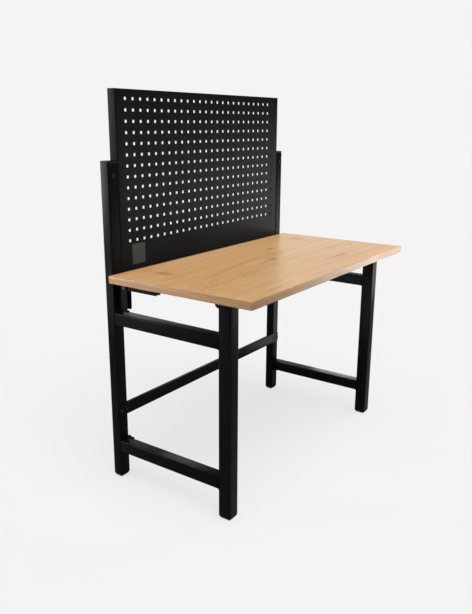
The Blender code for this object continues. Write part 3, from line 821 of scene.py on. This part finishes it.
class Finish(Enum):
    """The bench's finishes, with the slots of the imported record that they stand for."""

    FRAME = (PowderCoat("frame_powder_coat", (0.0042, 0.0042, 0.0044)), "frame_paint")
    PANEL = (PowderCoat("panel_powder_coat", (0.0062, 0.0070, 0.0082), roughness=0.34), "panel_paint")
    TOP = (OakLaminate("oak_laminate"), "oak_top")
    LONG_EDGE = (EdgeBand("oak_band_along_x", True), "oak_edge")
    SHORT_EDGE = (EdgeBand("oak_band_along_y", False), "oak_edge")
    PLASTIC = (MouldedPlastic("moulded_black_plastic"), "black_plastic")
    BLACK_STEEL = (BlackenedSteel("blackened_steel"), "black_steel")
    LABEL = (StickerFilm("bare_sticker_film"), "black_plastic")

    def __init__(self, recipe: Any, slot: str) -> None:
        """Keep the recipe and the slot."""
        self.recipe = recipe
        self.slot_name = slot

    def material(self) -> bpy.types.Material:
        """The finish's material, made at its first use."""
        return bpy.data.materials.get(self.recipe.name) or self.recipe.make()


def dress(item: bpy.types.Object, finish: Finish, body: Body, replaced: Sequence[str] = ()) -> None:
    """Give a new piece its finish and its body, and hide the nodes that it replaces.

    Args:
        item: The piece.
        finish: Its finish.
        body: The body it moves with.
        replaced: Nodes that it replaces.
    """
    item.data.materials.append(finish.material())
    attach(item, body.value)
    if replaced:
        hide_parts(*replaced)
    LOG.info("%s: %d faces, rides on %s", item.name, len(item.data.polygons), body.value)


def span(*nodes: str) -> tuple[Array, Array]:
    """Lowest and highest corner of one or more nodes at rest."""
    corners = np.array([[list(corner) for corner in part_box(node)] for node in nodes])
    return corners[:, 0].min(axis=0), corners[:, 1].max(axis=0)


# Sub-assemblies


@dataclass
class SquareTube:
    """Square tube with rolled corners, in the place of a node."""

    node: str
    axis: Axis
    body: Body
    corner: float = 0.004
    end_rounding: float = 0.0004

    def build(self) -> None:
        """Build the tube as a loft of its rounded outline between the node's two ends."""
        low, high = span(self.node)
        stations = edge_stations(0.0, (high - low)[self.axis.run], self.end_rounding, 2)
        rings = box_rings(low, high, self.axis, stations, self.corner, CORNER_STEPS)
        dress(Form().loft(rings).build(f"{self.node}_tube"), Finish.FRAME, self.body, [self.node])


@dataclass
class WeldBead:
    """Painted fillet weld where a rail's end meets a leg."""

    rail: str
    body: Body
    size: float = 0.0028
    ripple: float = 0.0004
    ripple_length: float = 0.0016
    fall: float = 0.75
    hollow: float = 0.3
    sunk: float = 0.0006
    core: float = 0.0015
    rail_corner: float = 0.004
    segments: int = 240

    def path(self, width: float, height: float) -> tuple[Array, Array, Array]:
        """Even points round the rail's outline.

        Args:
            width: The rail's width.
            height: The rail's height.

        Returns:
            The distance travelled to each point, the points, and the directions out of the rail.
        """
        outline = rounded_outline(width, height, self.rail_corner, CORNER_STEPS)
        closed = np.concatenate([outline, outline[:1]])
        steps = np.linalg.norm(np.diff(closed, axis=0), axis=1)
        travelled = np.concatenate([[0.0], np.cumsum(steps)])
        along = np.linspace(0.0, travelled[-1], self.segments, endpoint=False)
        path = np.stack([np.interp(along, travelled, closed[:, part]) for part in (0, 1)], axis=-1)
        ahead = np.roll(path, -1, axis=0) - np.roll(path, 1, axis=0)
        return along, path, unit(np.stack([ahead[:, 1], -ahead[:, 0]], axis=-1))

    def build(self) -> None:
        """Build the bead as a ridge round the rail's end, closed inside the rail.

        With t over a quarter turn, the ridge lies size times sin t along the rail, and stands size
        times (1 - fall sin t) times (1 - hollow + hollow cos t) out of it. The size ripples.
        """
        low, high = span(self.rail)
        middle = (low + high) / 2
        along, path, outward = self.path(high[0] - low[0], high[2] - low[2])
        turn = np.linspace(0.0, QUARTER, 6)[:, None]
        size = self.size + self.ripple * np.sin(along / self.ripple_length)
        rise = size * (1 - self.fall * np.sin(turn)) * (1 - self.hollow + self.hollow * np.cos(turn))
        back = size * np.sin(turn)
        inside = np.full_like(back[:1], -self.core)
        lift = np.concatenate([inside, rise - self.sunk, inside])
        depth = np.concatenate([np.zeros_like(inside), back, back[-1:]])
        rows = path + outward * lift[..., None]
        points = np.stack([rows[..., 0] + middle[0], low[1] + depth, rows[..., 1] + middle[2]], axis=-1)
        dress(Form().tunnel(points).build(f"{self.rail}_weld"), Finish.FRAME, self.body)


@dataclass
class PlasticEnd:
    """Foot or cap that closes a tube's end, with a rounded lip and a shadow gap to the tube."""

    node: str
    body: Body
    rounded_down: bool
    visible: float
    rounding: float = 0.004
    taper: float = 1.0
    corner: float = 0.0042
    ease: float = 0.0005
    ease_share: float = 0.3
    plug_inset: float = 0.0019

    def build(self) -> None:
        """Build the end as a loft whose far edge is a quarter ellipse and whose near edge is eased."""
        low, high = span(self.node)
        reach = min(1.0, (self.visible - self.ease) / self.rounding)
        far = quarter_round(self.rounding, self.rounding * self.taper, ROUND_STEPS, math.acos(1 - reach))
        lip, part = far[-1, 1], self.ease * self.ease_share
        near = [(self.visible - self.ease, lip), (self.visible - part, lip + part),
                (self.visible, lip + self.ease), (self.visible, self.plug_inset),
                (high[2] - low[2], self.plug_inset)]
        rings = box_rings(low, high, Axis.Z, np.concatenate([far, near]), self.corner, ROUND_STEPS,
                          self.rounded_down, kept=True)
        dress(Form().loft(rings).build(f"{self.node}_moulding"), Finish.PLASTIC, self.body, [self.node])


@dataclass
class BoltHead:
    """Head of a bolt: a domed button with a socket over a flange, or a hexagon over a washer."""

    node: str
    axis: Axis
    direction: float
    radius: float
    height: float
    hexagon: bool = False
    segments: int = 40

    def button_profile(self) -> Pairs:
        """Radius and height from the flange's foot over the dome to the socket's floor.

        The dome's radius is 0.48 + 0.34 cos t of the head's, at 0.25 + 0.75 sin t of its height.

        Returns:
            Pairs of radius and height.
        """
        turn = np.linspace(0.0, QUARTER, ROUND_STEPS + 1)
        dome = np.stack([0.48 + 0.34 * np.cos(turn), 0.25 + 0.75 * np.sin(turn)], axis=-1)
        flange = [(0.40, 0.0), (1.0, 0.0), (1.0, 0.16), (0.95, 0.24)]
        socket = [(0.40, 1.0), (0.40, 0.45), (NEAR_AXIS / self.radius, 0.35)]
        return np.concatenate([flange, dome, socket]) * [self.radius, self.height]

    def hexagon_profiles(self) -> tuple[Pairs, Pairs]:
        """Radius and height of the washer and of the chamfered hexagon."""
        radius, height = self.radius, self.height
        washer = [(NEAR_AXIS, 0.0), (radius * 1.02, 0.0), (radius * 1.02, 0.0008), (radius * 0.98, 0.001),
                  (NEAR_AXIS, 0.001)]
        hexagon = [(NEAR_AXIS, 0.0009), (radius, 0.0009), (radius, height - 0.0007),
                   (radius * 0.90, height), (NEAR_AXIS, height)]
        return washer, hexagon

    def build(self) -> None:
        """Build the head from its turned profiles, so that its top is at the node's end."""
        low, high = span(self.node)
        centre = (low + high) / 2
        tip = (high if self.direction > 0 else low)[self.axis.run]
        centre[self.axis.run] = tip - self.direction * self.height
        form = Form()
        if self.hexagon:
            for profile, segments in zip(self.hexagon_profiles(), (self.segments, 6)):
                form.loft(turned_rings(profile, segments, self.axis, centre, self.direction))
        else:
            form.loft(turned_rings(self.button_profile(), self.segments, self.axis, centre, self.direction))
        dress(form.build(f"{self.node}_head", 35.0), Finish.BLACK_STEEL, Body.REAR_FRAME, [self.node])


@dataclass
class Pegboard:
    """Perforated tray: rounded square holes in a grid, with its four sides folded back."""

    columns: int = 26
    rows: int = 14
    pitch: float = 0.038
    hole: float = 0.010
    hole_corner: float = 0.0016
    edge: float = 0.00025
    sheet: float = 0.0015
    bend: float = 0.003
    rim_edge: float = 0.0003
    top_margin: float = 0.032
    nodes: tuple[str, ...] = ("pegboard", "pegboard_left_fold", "pegboard_right_fold", "pegboard_top_fold",
                              "pegboard_bottom_fold")

    def hole_outline(self, inset: float) -> Array:
        """Outline of a hole in 16 points, four to a side, starting at the middle of the +X side.

        Args:
            inset: How far the outline is drawn in from the hole's edge.

        Returns:
            Points of shape (16, 2).
        """
        half = self.hole / 2 - inset
        turn = np.linspace(0.0, QUARTER, 3)
        arc = (half - self.hole_corner) + self.hole_corner * np.stack([np.cos(turn), np.sin(turn)], axis=-1)
        return four_fold(np.concatenate([[[half, 0.0]], arc]))

    def cell_outline(self) -> Array:
        """Outline of a cell of the grid in 16 points that pair with the hole's."""
        half = self.pitch / 2
        return four_fold(np.array([[half, 0.0], [half, half / 2], [half, half], [half / 2, half]]))

    def build(self) -> None:
        """Build the sheet's front, its holes' walls, its back and its folded sides."""
        low, high = span(*self.nodes)
        front, back = low[1], low[1] + self.sheet
        centre_x = (low[0] + high[0]) / 2
        across = centre_x + (np.arange(self.columns) - (self.columns - 1) / 2) * self.pitch
        down = high[2] - self.top_margin - np.arange(self.rows) * self.pitch
        places = np.stack(np.meshgrid(across, down, indexing="ij"), axis=-1).reshape(-1, 1, 1, 2)
        cell, wall, lip = self.cell_outline(), self.hole_outline(0.0), self.hole_outline(-self.edge)
        flat = np.stack([cell, lip, wall, wall, lip, cell])[None] + places
        levels = np.array([front, front, front + self.edge, back - self.edge, back, back])
        depth = np.broadcast_to(levels[None, :, None], flat.shape[:3])
        form = Form().loft(np.stack([flat[..., 0], depth, flat[..., 1]], axis=-1), capped=False)
        form.loft(self.margin_rings(low, high, across, down), capped=False)
        dress(form.build("pegboard_sheet", 32.0), Finish.PANEL, Body.REAR_FRAME, self.nodes)

    def margin_rings(self, low: Array, high: Array, across: Array, down: Array) -> Array:
        """Rings from the grid's rim over the bend, along the folded side and back on its inside.

        Args:
            low: The tray's lowest corner.
            high: The tray's highest corner.
            across: Hole centres along X.
            down: Hole centres along Z.

        Returns:
            Points of shape (rings, rim points, 3).
        """
        quarter = self.pitch / 4
        left, right = across.min() - self.pitch / 2, across.max() + self.pitch / 2
        floor, ceiling = down.min() - self.pitch / 2, down.max() + self.pitch / 2
        wide, tall = self.columns * 4, self.rows * 4
        sides = (((left, floor), (quarter, 0.0), wide), ((right, floor), (0.0, quarter), tall),
                 ((right, ceiling), (-quarter, 0.0), wide), ((left, ceiling), (0.0, -quarter), tall))
        rim = np.concatenate([np.array(start) + np.arange(count)[:, None] * np.array(step)
                              for start, step, count in sides])
        share = (rim - [left, floor]) / [right - left, ceiling - floor]

        def ring(depth: float, inset: float) -> Array:
            """The tray's outline at a depth, drawn in by an inset, in step with the rim."""
            places = low[[0, 2]] + inset + share * ((high - low)[[0, 2]] - 2 * inset)
            return np.insert(places, 1, low[1] + depth, axis=-1)

        inner_bend = self.bend - self.sheet
        outer = quarter_round(self.bend, self.bend, ROUND_STEPS)
        inner = quarter_round(inner_bend, inner_bend, ROUND_STEPS)[::-1] + self.sheet
        lip, edge = high[1] - low[1], self.rim_edge
        turned = [(lip - edge, 0.0), (lip, edge), (lip, self.sheet - edge), (lip - edge, self.sheet)]
        rings = [ring(depth, inset) for depth, inset in np.concatenate([outer, turned, inner])]
        face, rear = (np.insert(rim, 1, low[1] + depth, axis=-1) for depth in (0.0, self.sheet))
        return np.stack([face, *rings, rear])


@dataclass
class BareSticker:
    """Blank sticker near the panel's lower left corner."""

    low: tuple[float, float] = (-0.466, 0.829)
    high: tuple[float, float] = (-0.398, 0.905)
    corner: float = 0.0025
    bedded: float = 0.00005
    thickness: float = 0.00018
    edge: float = 0.00008

    def build(self) -> None:
        """Build the film as a thin loft with an eased front edge."""
        front = span("pegboard")[0][1]
        corners = [(x, front, z) for x, z in (self.low, self.high)]
        stations = np.array([(self.bedded, 0.0), (self.edge - self.thickness, 0.0),
                             (-self.thickness, self.edge)])
        rings = box_rings(*corners, Axis.Y, stations, self.corner, 5)
        dress(Form().loft(rings).build("bare_sticker"), Finish.LABEL, Body.REAR_FRAME)


@dataclass
class CrossBrace:
    """Pressed brace across the uprights' fronts, with rolled long edges and rounded ends."""

    sheet: float = 0.003
    bend: float = 0.00245
    end_corner: float = 0.007
    edge: float = 0.0002
    lip_rounding: float = 0.0006
    lip_clearance: float = 0.0015

    def build(self) -> None:
        """Build the brace's face, and its lips between the uprights, as one form of three lofts."""
        low, high = span("cross_brace")
        inner = span("left_upright")[1][0] + self.lip_clearance
        stations = np.concatenate([quarter_round(self.bend, self.bend, 5),
                                   [(self.sheet - self.edge, 0.0), (self.sheet, self.edge)]])
        form = Form().loft(box_rings(low, high, Axis.Y, stations, self.end_corner, CORNER_STEPS))
        for bottom, top in ((low[2], low[2] + self.sheet), (high[2] - self.sheet, high[2])):
            form.block((inner, low[1] + self.bend, bottom), (-inner, high[1], top), self.lip_rounding, 2)
        dress(form.build("cross_brace_bar"), Finish.FRAME, Body.REAR_FRAME, ["cross_brace"])


@dataclass
class LeafHinge:
    """Butt hinge of a leg frame: two leaves, three knuckles and a pin."""

    side: Side
    level: Level
    sheet: float = 0.0025
    leaf_rounding: float = 0.0006
    knuckle: float = 0.005
    knuckle_edge: float = 0.0004
    knuckle_segments: int = 28
    pin_head: float = 0.0038
    pin_segments: int = 24
    bore: float = 0.0034
    shank: float = 0.0031
    gap: float = 0.0004
    strap_start: float = 0.6
    strap_end: float = 0.002
    strap_inset: float = 0.0001
    strap_rounding: float = 0.0003

    @property
    def stem(self) -> str:
        """Start of the hinge's node names."""
        return f"{self.side.word}_{self.level.value}_hinge"

    def build(self) -> None:
        """Build both leaves with their knuckles, and the pin with its domed ends."""
        low, high = span(f"{self.stem}_fixed_leaf")
        axis_x = self.side.outermost(low, high) - self.side.value * self.knuckle
        axis = (axis_x, low[1] + self.knuckle, 0.0)
        self.build_leaf("fixed_leaf", Body.REAR_FRAME, axis, (0, 2), 1)
        self.build_leaf("moving_leaf", Body.leg_frame(self.side), axis, (1,), -1)
        head = [(NEAR_AXIS, 0.0), (0.0026, 0.0002), (self.pin_head, 0.0009), (self.pin_head, 0.0014),
                (self.shank, 0.0015)]
        profile = [(radius, low[2] + z) for radius, z in head]
        profile += [(radius, high[2] - z) for radius, z in reversed(head)]
        form = Form().loft(turned_rings(profile, self.pin_segments, Axis.Z, axis))
        dress(form.build(f"{self.stem}_pin_rod"), Finish.BLACK_STEEL, Body.REAR_FRAME)

    def build_leaf(self, leaf: str, body: Body, axis: Point, knuckles: Sequence[int], way: int) -> None:
        """Build a leaf, its knuckles and the straps that join them.

        Args:
            leaf: End of the leaf's node name.
            body: The body that it moves with.
            axis: A point on the hinge's axis, at height zero.
            knuckles: Which thirds of the hinge are this leaf's knuckles, from below.
            way: 1 or -1, the way along Y in which the leaf lies from the axis.
        """
        low, high = span(f"{self.stem}_{leaf}")
        bottom, top = (corner[2] for corner in span(f"{self.stem}_moving_leaf"))
        third = (top - bottom) / 3
        wall = self.side.outermost(low, high)
        x_ends = sorted((wall, wall - self.side.value * self.sheet))
        form = Form()

        def plate(start: tuple[float, float], end: tuple[float, float], rounding: float, steps: int) -> None:
            """Add a plate of the leaf's thickness between two pairs of Y and Z."""
            y_ends = sorted((start[0], end[0]))
            form.block((x_ends[0], y_ends[0], start[1]), (x_ends[1], y_ends[1], end[1]), rounding, steps)

        far = high[1] if way > 0 else low[1]
        plate((axis[1] + way * (self.knuckle + self.gap), bottom), (far, top), self.leaf_rounding, 2)
        for index in knuckles:
            start = bottom + index * third + (self.gap / 2 if index > 0 else 0.0)
            end = bottom + (index + 1) * third - (self.gap / 2 if index < 2 else 0.0)
            inner, edge = self.knuckle - self.knuckle_edge, self.knuckle_edge
            profile = [(self.bore, start), (inner, start), (self.knuckle, start + edge),
                       (self.knuckle, end - edge), (inner, end), (self.bore, end)]
            form.tunnel(turned_rings(profile, self.knuckle_segments, Axis.Z, axis))
            plate((axis[1] + way * self.knuckle * self.strap_start, start + self.strap_inset),
                  (axis[1] + way * (self.knuckle + self.strap_end), end - self.strap_inset),
                  self.strap_rounding, 1)
        dress(form.build(f"{self.stem}_{leaf}_plate"), Finish.FRAME, body, [f"{self.stem}_{leaf}"])


@dataclass
class LegStop:
    """Block behind a leg's top, with a chamfered lower rear edge."""

    side: Side
    chamfer: float = 0.007
    ease: float = 0.0012
    corner: float = 0.0015
    corner_share: float = 0.3

    def build(self) -> None:
        """Build the block as an outline with cut corners, lofted along X with eased ends.

        Each corner is three points: one on each of its sides, and their offsets' sum times a share.
        """
        node = f"{self.side.word}_leg_stop"
        low, high = span(node)

        def outline(inset: float) -> Array:
            """The block's outline, drawn in by an inset except at its top."""
            front, rear = low[1] + inset, high[1] - inset
            bottom, top = low[2] + inset, high[2]
            corners = np.array([(front, bottom), (rear - self.chamfer, bottom), (rear, bottom + self.chamfer),
                                (rear, top), (front, top)])
            ahead, behind = (unit(np.roll(corners, step, axis=0) - corners) * self.corner for step in (-1, 1))
            cuts = [corners + behind, corners + (behind + ahead) * self.corner_share, corners + ahead]
            return np.stack(cuts, axis=1).reshape(-1, 2)

        stations = edge_stations(low[0], high[0], self.ease, 3)
        form = Form().loft(lofted_rings(outline, stations, Axis.X, (0.0, 0.0, 0.0)))
        dress(form.build(f"{node}_moulding"), Finish.PLASTIC, Body.WORKTOP, [node])


@dataclass
class Worktop:
    """Laminate board with a band on each edge, and its leg stops."""

    band: float = 0.0016
    board_rounding: float = 0.0002
    band_rounding: float = 0.0005

    def build(self) -> None:
        """Build the board, the bands and the leg stops."""
        (left, front, bottom), (right, rear, top) = span("edge_band")
        board_left, board_right = left + self.band, right - self.band
        board_front, board_rear = front + self.band, rear - self.band
        board = Form().block((board_left, board_front, bottom), (board_right, board_rear, top),
                             self.board_rounding, 1)
        dress(board.build("oak_board"), Finish.TOP, Body.WORKTOP, ["tabletop"])
        strips = {
            "front": (Finish.LONG_EDGE, (left, front), (right, board_front)),
            "rear": (Finish.LONG_EDGE, (left, board_rear), (right, rear)),
            "left": (Finish.SHORT_EDGE, (left, board_front), (board_left, board_rear)),
            "right": (Finish.SHORT_EDGE, (board_right, board_front), (right, board_rear)),
        }
        for name, (finish, start, end) in strips.items():
            strip = Form().block((*start, bottom), (*end, top), self.band_rounding, 3)
            dress(strip.build(f"{name}_band"), finish, Body.WORKTOP, ["edge_band"])
        for side in Side:
            LegStop(side).build()


@dataclass
class Frame:
    """The steel frame: uprights, leg frames, their ends, welds, hinges and fasteners."""

    foot_height: float = 0.014
    foot_rounding: float = 0.0175
    foot_taper: float = 0.75
    top_cap_height: float = 0.007
    bolt_head: tuple[float, float] = (0.0062, 0.004)
    pivot_head: tuple[float, float] = (0.0074, 0.0036)

    def build(self) -> None:
        """Build both sides of the frame, and the brace between them."""
        for side in Side:
            self.build_upright(side)
            self.build_leg_frame(side)
            self.build_fasteners(side)
        CrossBrace().build()

    def build_foot(self, node: str, body: Body) -> None:
        """Build a foot."""
        PlasticEnd(node, body, True, self.foot_height, self.foot_rounding, self.foot_taper).build()

    def build_upright(self, side: Side) -> None:
        """Build an upright with its cap and foot.

        Args:
            side: The side of the bench.
        """
        SquareTube(f"{side.word}_upright", Axis.Z, Body.REAR_FRAME).build()
        PlasticEnd(f"{side.word}_upright_cap", Body.REAR_FRAME, False, self.top_cap_height).build()
        self.build_foot(f"{side.word}_rear_foot", Body.REAR_FRAME)

    def build_leg_frame(self, side: Side) -> None:
        """Build a leg frame with its foot, welds and hinges.

        Args:
            side: The side of the bench.
        """
        body = Body.leg_frame(side)
        SquareTube(f"{side.word}_leg", Axis.Z, body).build()
        self.build_foot(f"{side.word}_front_foot", body)
        for level in Level:
            rail = f"{side.word}_{level.value}_rail"
            SquareTube(rail, Axis.Y, body).build()
            WeldBead(rail, body).build()
            LeafHinge(side, level).build()

    def build_fasteners(self, side: Side) -> None:
        """Build the heads of the bolts that show.

        Args:
            side: The side of the bench.
        """
        for name in ("brace_bolt_outer", "brace_bolt_inner", "upright_bolt_top", "bracket_bolt_upper",
                     "bracket_bolt_lower"):
            BoltHead(f"{side.word}_{name}", Axis.Y, -1, *self.bolt_head).build()
        for name in ("panel_bolt_lower", "panel_bolt_upper"):
            BoltHead(f"{side.word}_{name}", Axis.X, -side.value, *self.bolt_head).build()
        BoltHead(f"{side.word}_pivot_bolt", Axis.X, side.value, *self.pivot_head, hexagon=True).build()


def dress_remaining_nodes(nodes: dict[str, bpy.types.Object]) -> None:
    """Give the carried-over solids their finishes by the words in their names.

    Args:
        nodes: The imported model's nodes.
    """
    finishes = {"bolt": Finish.BLACK_STEEL, "screw": Finish.BLACK_STEEL, "nut": Finish.BLACK_STEEL,
                "foot": Finish.PLASTIC, "cap": Finish.PLASTIC, "stop": Finish.PLASTIC}
    for name, item in nodes.items():
        words = name.split("_")
        finish = next((finish for word, finish in finishes.items() if word in words), Finish.FRAME)
        materials = item.data.materials
        if not materials:
            materials.append(None)
        for place in range(len(materials)):
            materials[place] = finish.material()


@dataclass(frozen=True)
class Softbox:
    """Soft lamp that shows either in gloss alone or in matt light alone, from its place to a target."""

    name: str
    place: Point
    target: Point
    size: tuple[float, float]
    power: float
    gloss: bool = True
    matt_spread: float = 45.0

    def hang(self) -> None:
        """Put the lamp into the scene."""
        data = bpy.data.lights.new(self.name, "AREA")
        data.shape = "RECTANGLE"
        data.size, data.size_y = self.size
        data.energy = self.power
        data.spread = math.pi if self.gloss else math.radians(self.matt_spread)
        lamp = add_object(self.name, data)
        lamp.location = self.place
        lamp.rotation_euler = (Vector(self.target) - lamp.location).to_track_quat("-Z", "Y").to_euler()
        lamp.visible_diffuse, lamp.visible_glossy = not self.gloss, self.gloss
        lamp.visible_camera = False


@dataclass
class Studio:
    """Plain pale studio with soft light, and the camera at the photograph's place."""

    camera_place: Point = (-2.2100, -1.3986, 1.3359)
    yaw: float = 55.0
    pitch: float = -15.55
    roll: float = 0.32
    focal_pixels: float = 663.9
    sensor: float = 36.0
    clip: tuple[float, float] = (0.05, 60.0)
    background: Colour = to_linear("F4F4F4")
    sky_share: float = 0.50
    bright_side: Point = (0.30, 0.95, 0.0)
    bright_range: tuple[float, float] = (-0.15, 0.45)
    dark_level: float = 0.22
    floor_half: float = 14.0
    floor_bounce: Colour = to_linear("ABABAB")
    floor_roughness: float = 0.9
    floor_glow: float = 0.75
    floor_gloss: float = 0.45
    sun_direction: Point = (-0.15, -0.35, 1.0)
    sun_spread: float = 45.0
    sun_share: float = 0.50
    softboxes: tuple[Softbox, ...] = (
        Softbox("left_gloss", (-2.2, 2.9, 1.7), (-0.57, 0.3, 1.2), (1.2, 1.2), 135.0),
        Softbox("right_gloss", (3.4, -1.45, 0.55), (0.5, 0.3, 0.9), (0.8, 0.9), 10.0),
        Softbox("front_gloss", (2.0, -2.25, 0.70), (-0.5, 0.3, 1.0), (1.2, 0.9), 8.0),
        Softbox("rear_gloss", (0.42, 1.0, 1.02), (-0.57, 0.1, 0.66), (0.7, 0.45), 0.5),
        Softbox("left_rail_gloss", (0.13, 0.43, 0.60), (0.13, -0.3, 0.16), (0.6, 0.34), 2.3),
        Softbox("right_rail_gloss", (1.4, 0.27, 0.52), (0.55, 0.0, 0.16), (0.42, 0.35), 3.6),
        Softbox("upright_gloss", (0.95, 0.0, 0.40), (0.547, 0.24, 0.5), (0.22, 0.66), 1.5),
        Softbox("upright_top_gloss", (2.2, -0.76, 0.95), (0.547, 0.24, 1.1), (0.3, 0.6), 2.6),
        Softbox("inner_gloss", (-0.46, 0.02, 0.36), (0.55, 0.02, 0.36), (0.5, 0.6), 3.6),
        Softbox("front_band_gloss", (0.98, -0.72, 0.60), (0.15, -0.3266, 0.797), (0.35, 0.25), 2.9),
        Softbox("left_band_gloss", (-1.4, 1.0, 0.55), (-0.595, 0.25, 0.8), (0.4, 0.34), 1.7),
        Softbox("left_wash", (-1.7, 1.35, 0.85), (-0.6, 0.0, 0.8), (0.6, 0.3), 1.8, gloss=False),
        Softbox("right_wash", (2.2, -1.2, 0.85), (0.5, -0.33, 0.8), (0.6, 0.3), 3.6, gloss=False),
        Softbox("rear_wash", (0.0, 0.2, 1.65), (0.0, 0.2, 0.8), (1.0, 0.1), 0.21, gloss=False),
    )

    def build(self) -> None:
        """Build the camera, the world, the floor and the lamps."""
        self.build_camera()
        self.build_world()
        self.build_floor()
        self.build_sun()
        for softbox in self.softboxes:
            softbox.hang()
        bpy.context.scene.view_settings.view_transform = "Standard"

    def build_camera(self) -> None:
        """Stand the camera where the photograph was taken."""
        data = bpy.data.cameras.new("camera")
        data.lens = self.focal_pixels / IMAGE_HEIGHT * self.sensor
        data.sensor_width = self.sensor
        data.clip_start, data.clip_end = self.clip
        camera = add_object("camera", data)
        turn = (Matrix.Rotation(-math.radians(self.yaw), 4, "Z")
                @ Matrix.Rotation(math.radians(90 + self.pitch), 4, "X")
                @ Matrix.Rotation(math.radians(self.roll), 4, "Z"))
        camera.matrix_world = Matrix.Translation(self.camera_place) @ turn
        bpy.context.scene.camera = camera

    def build_world(self) -> None:
        """Light evenly from all round, and show the pale background to the camera and in reflections.

        The room is pale behind the bench and darker behind the camera, which reflections show.
        """
        world = bpy.data.worlds.new("studio")
        bpy.context.scene.world = world
        graph = Graph(world)

        def light(colour: Colour, strength: Any) -> Value:
            """A background of one colour."""
            return graph.node("ShaderNodeBackground", inputs={"Color": colour, "Strength": strength})

        towards = graph.node("ShaderNodeTexCoord", output="Generated")
        facing = graph.node("ShaderNodeVectorMath", {"operation": "DOT_PRODUCT"},
                            {0: towards, 1: self.bright_side}, "Value")
        level = facing.ramp(*self.bright_range) * (1 - self.dark_level) + self.dark_level
        reflected = light(self.background, level)
        sky = graph.mix(graph.ray("Glossy"), light((1.0, 1.0, 1.0), self.sky_share), reflected)
        direct = graph.ray("Camera") + graph.ray("Transmission")
        graph.show(graph.mix(direct, sky, light(self.background, 1.0)))

    def build_floor(self) -> None:
        """Lay a plain pale floor that shows the background's colour and keeps the bench's shadow."""
        mesh = bpy.data.meshes.new("floor")
        corners = np.array([(-1, -1, 0), (1, -1, 0), (1, 1, 0), (-1, 1, 0)]) * self.floor_half
        mesh.from_pydata(corners.tolist(), [], [(0, 1, 2, 3)])
        graph = Graph(bpy.data.materials.new("pale_floor"))
        direct = graph.ray("Camera") + graph.ray("Transmission")
        seen = direct + graph.ray("Glossy") * self.floor_gloss
        mesh.materials.append(graph.surface(
            base_color=graph.blend(seen, self.floor_bounce, self.background),
            roughness=self.floor_roughness, specular_ior_level=0.0))
        pale = graph.node("ShaderNodeEmission", inputs={"Color": self.background, "Strength": 1.0})
        graph.show(graph.mix(direct * self.floor_glow, graph.principled(), pale))
        add_object("floor", mesh)

    def build_sun(self) -> None:
        """Hang a wide, soft lamp far away.

        A surface's radiance is its colour times the light that falls on it over pi, so a share of 1
        in all shows a level white floor as it is written.
        """
        direction = Vector(self.sun_direction).normalized()
        data = bpy.data.lights.new("overhead", "SUN")
        data.energy = self.sun_share * math.pi / direction.z
        data.angle = math.radians(self.sun_spread)
        add_object("overhead", data).rotation_euler = direction.to_track_quat("Z", "Y").to_euler()


def main() -> None:
    """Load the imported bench, dress it and set up the studio."""
    logging.basicConfig(level=logging.INFO, format="%(message)s")
    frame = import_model()
    dress_remaining_nodes(frame["nodes"])
    Frame().build()
    Pegboard().build()
    BareSticker().build()
    Worktop().build()
    Studio().build()


if __name__ == "__main__":
    main()
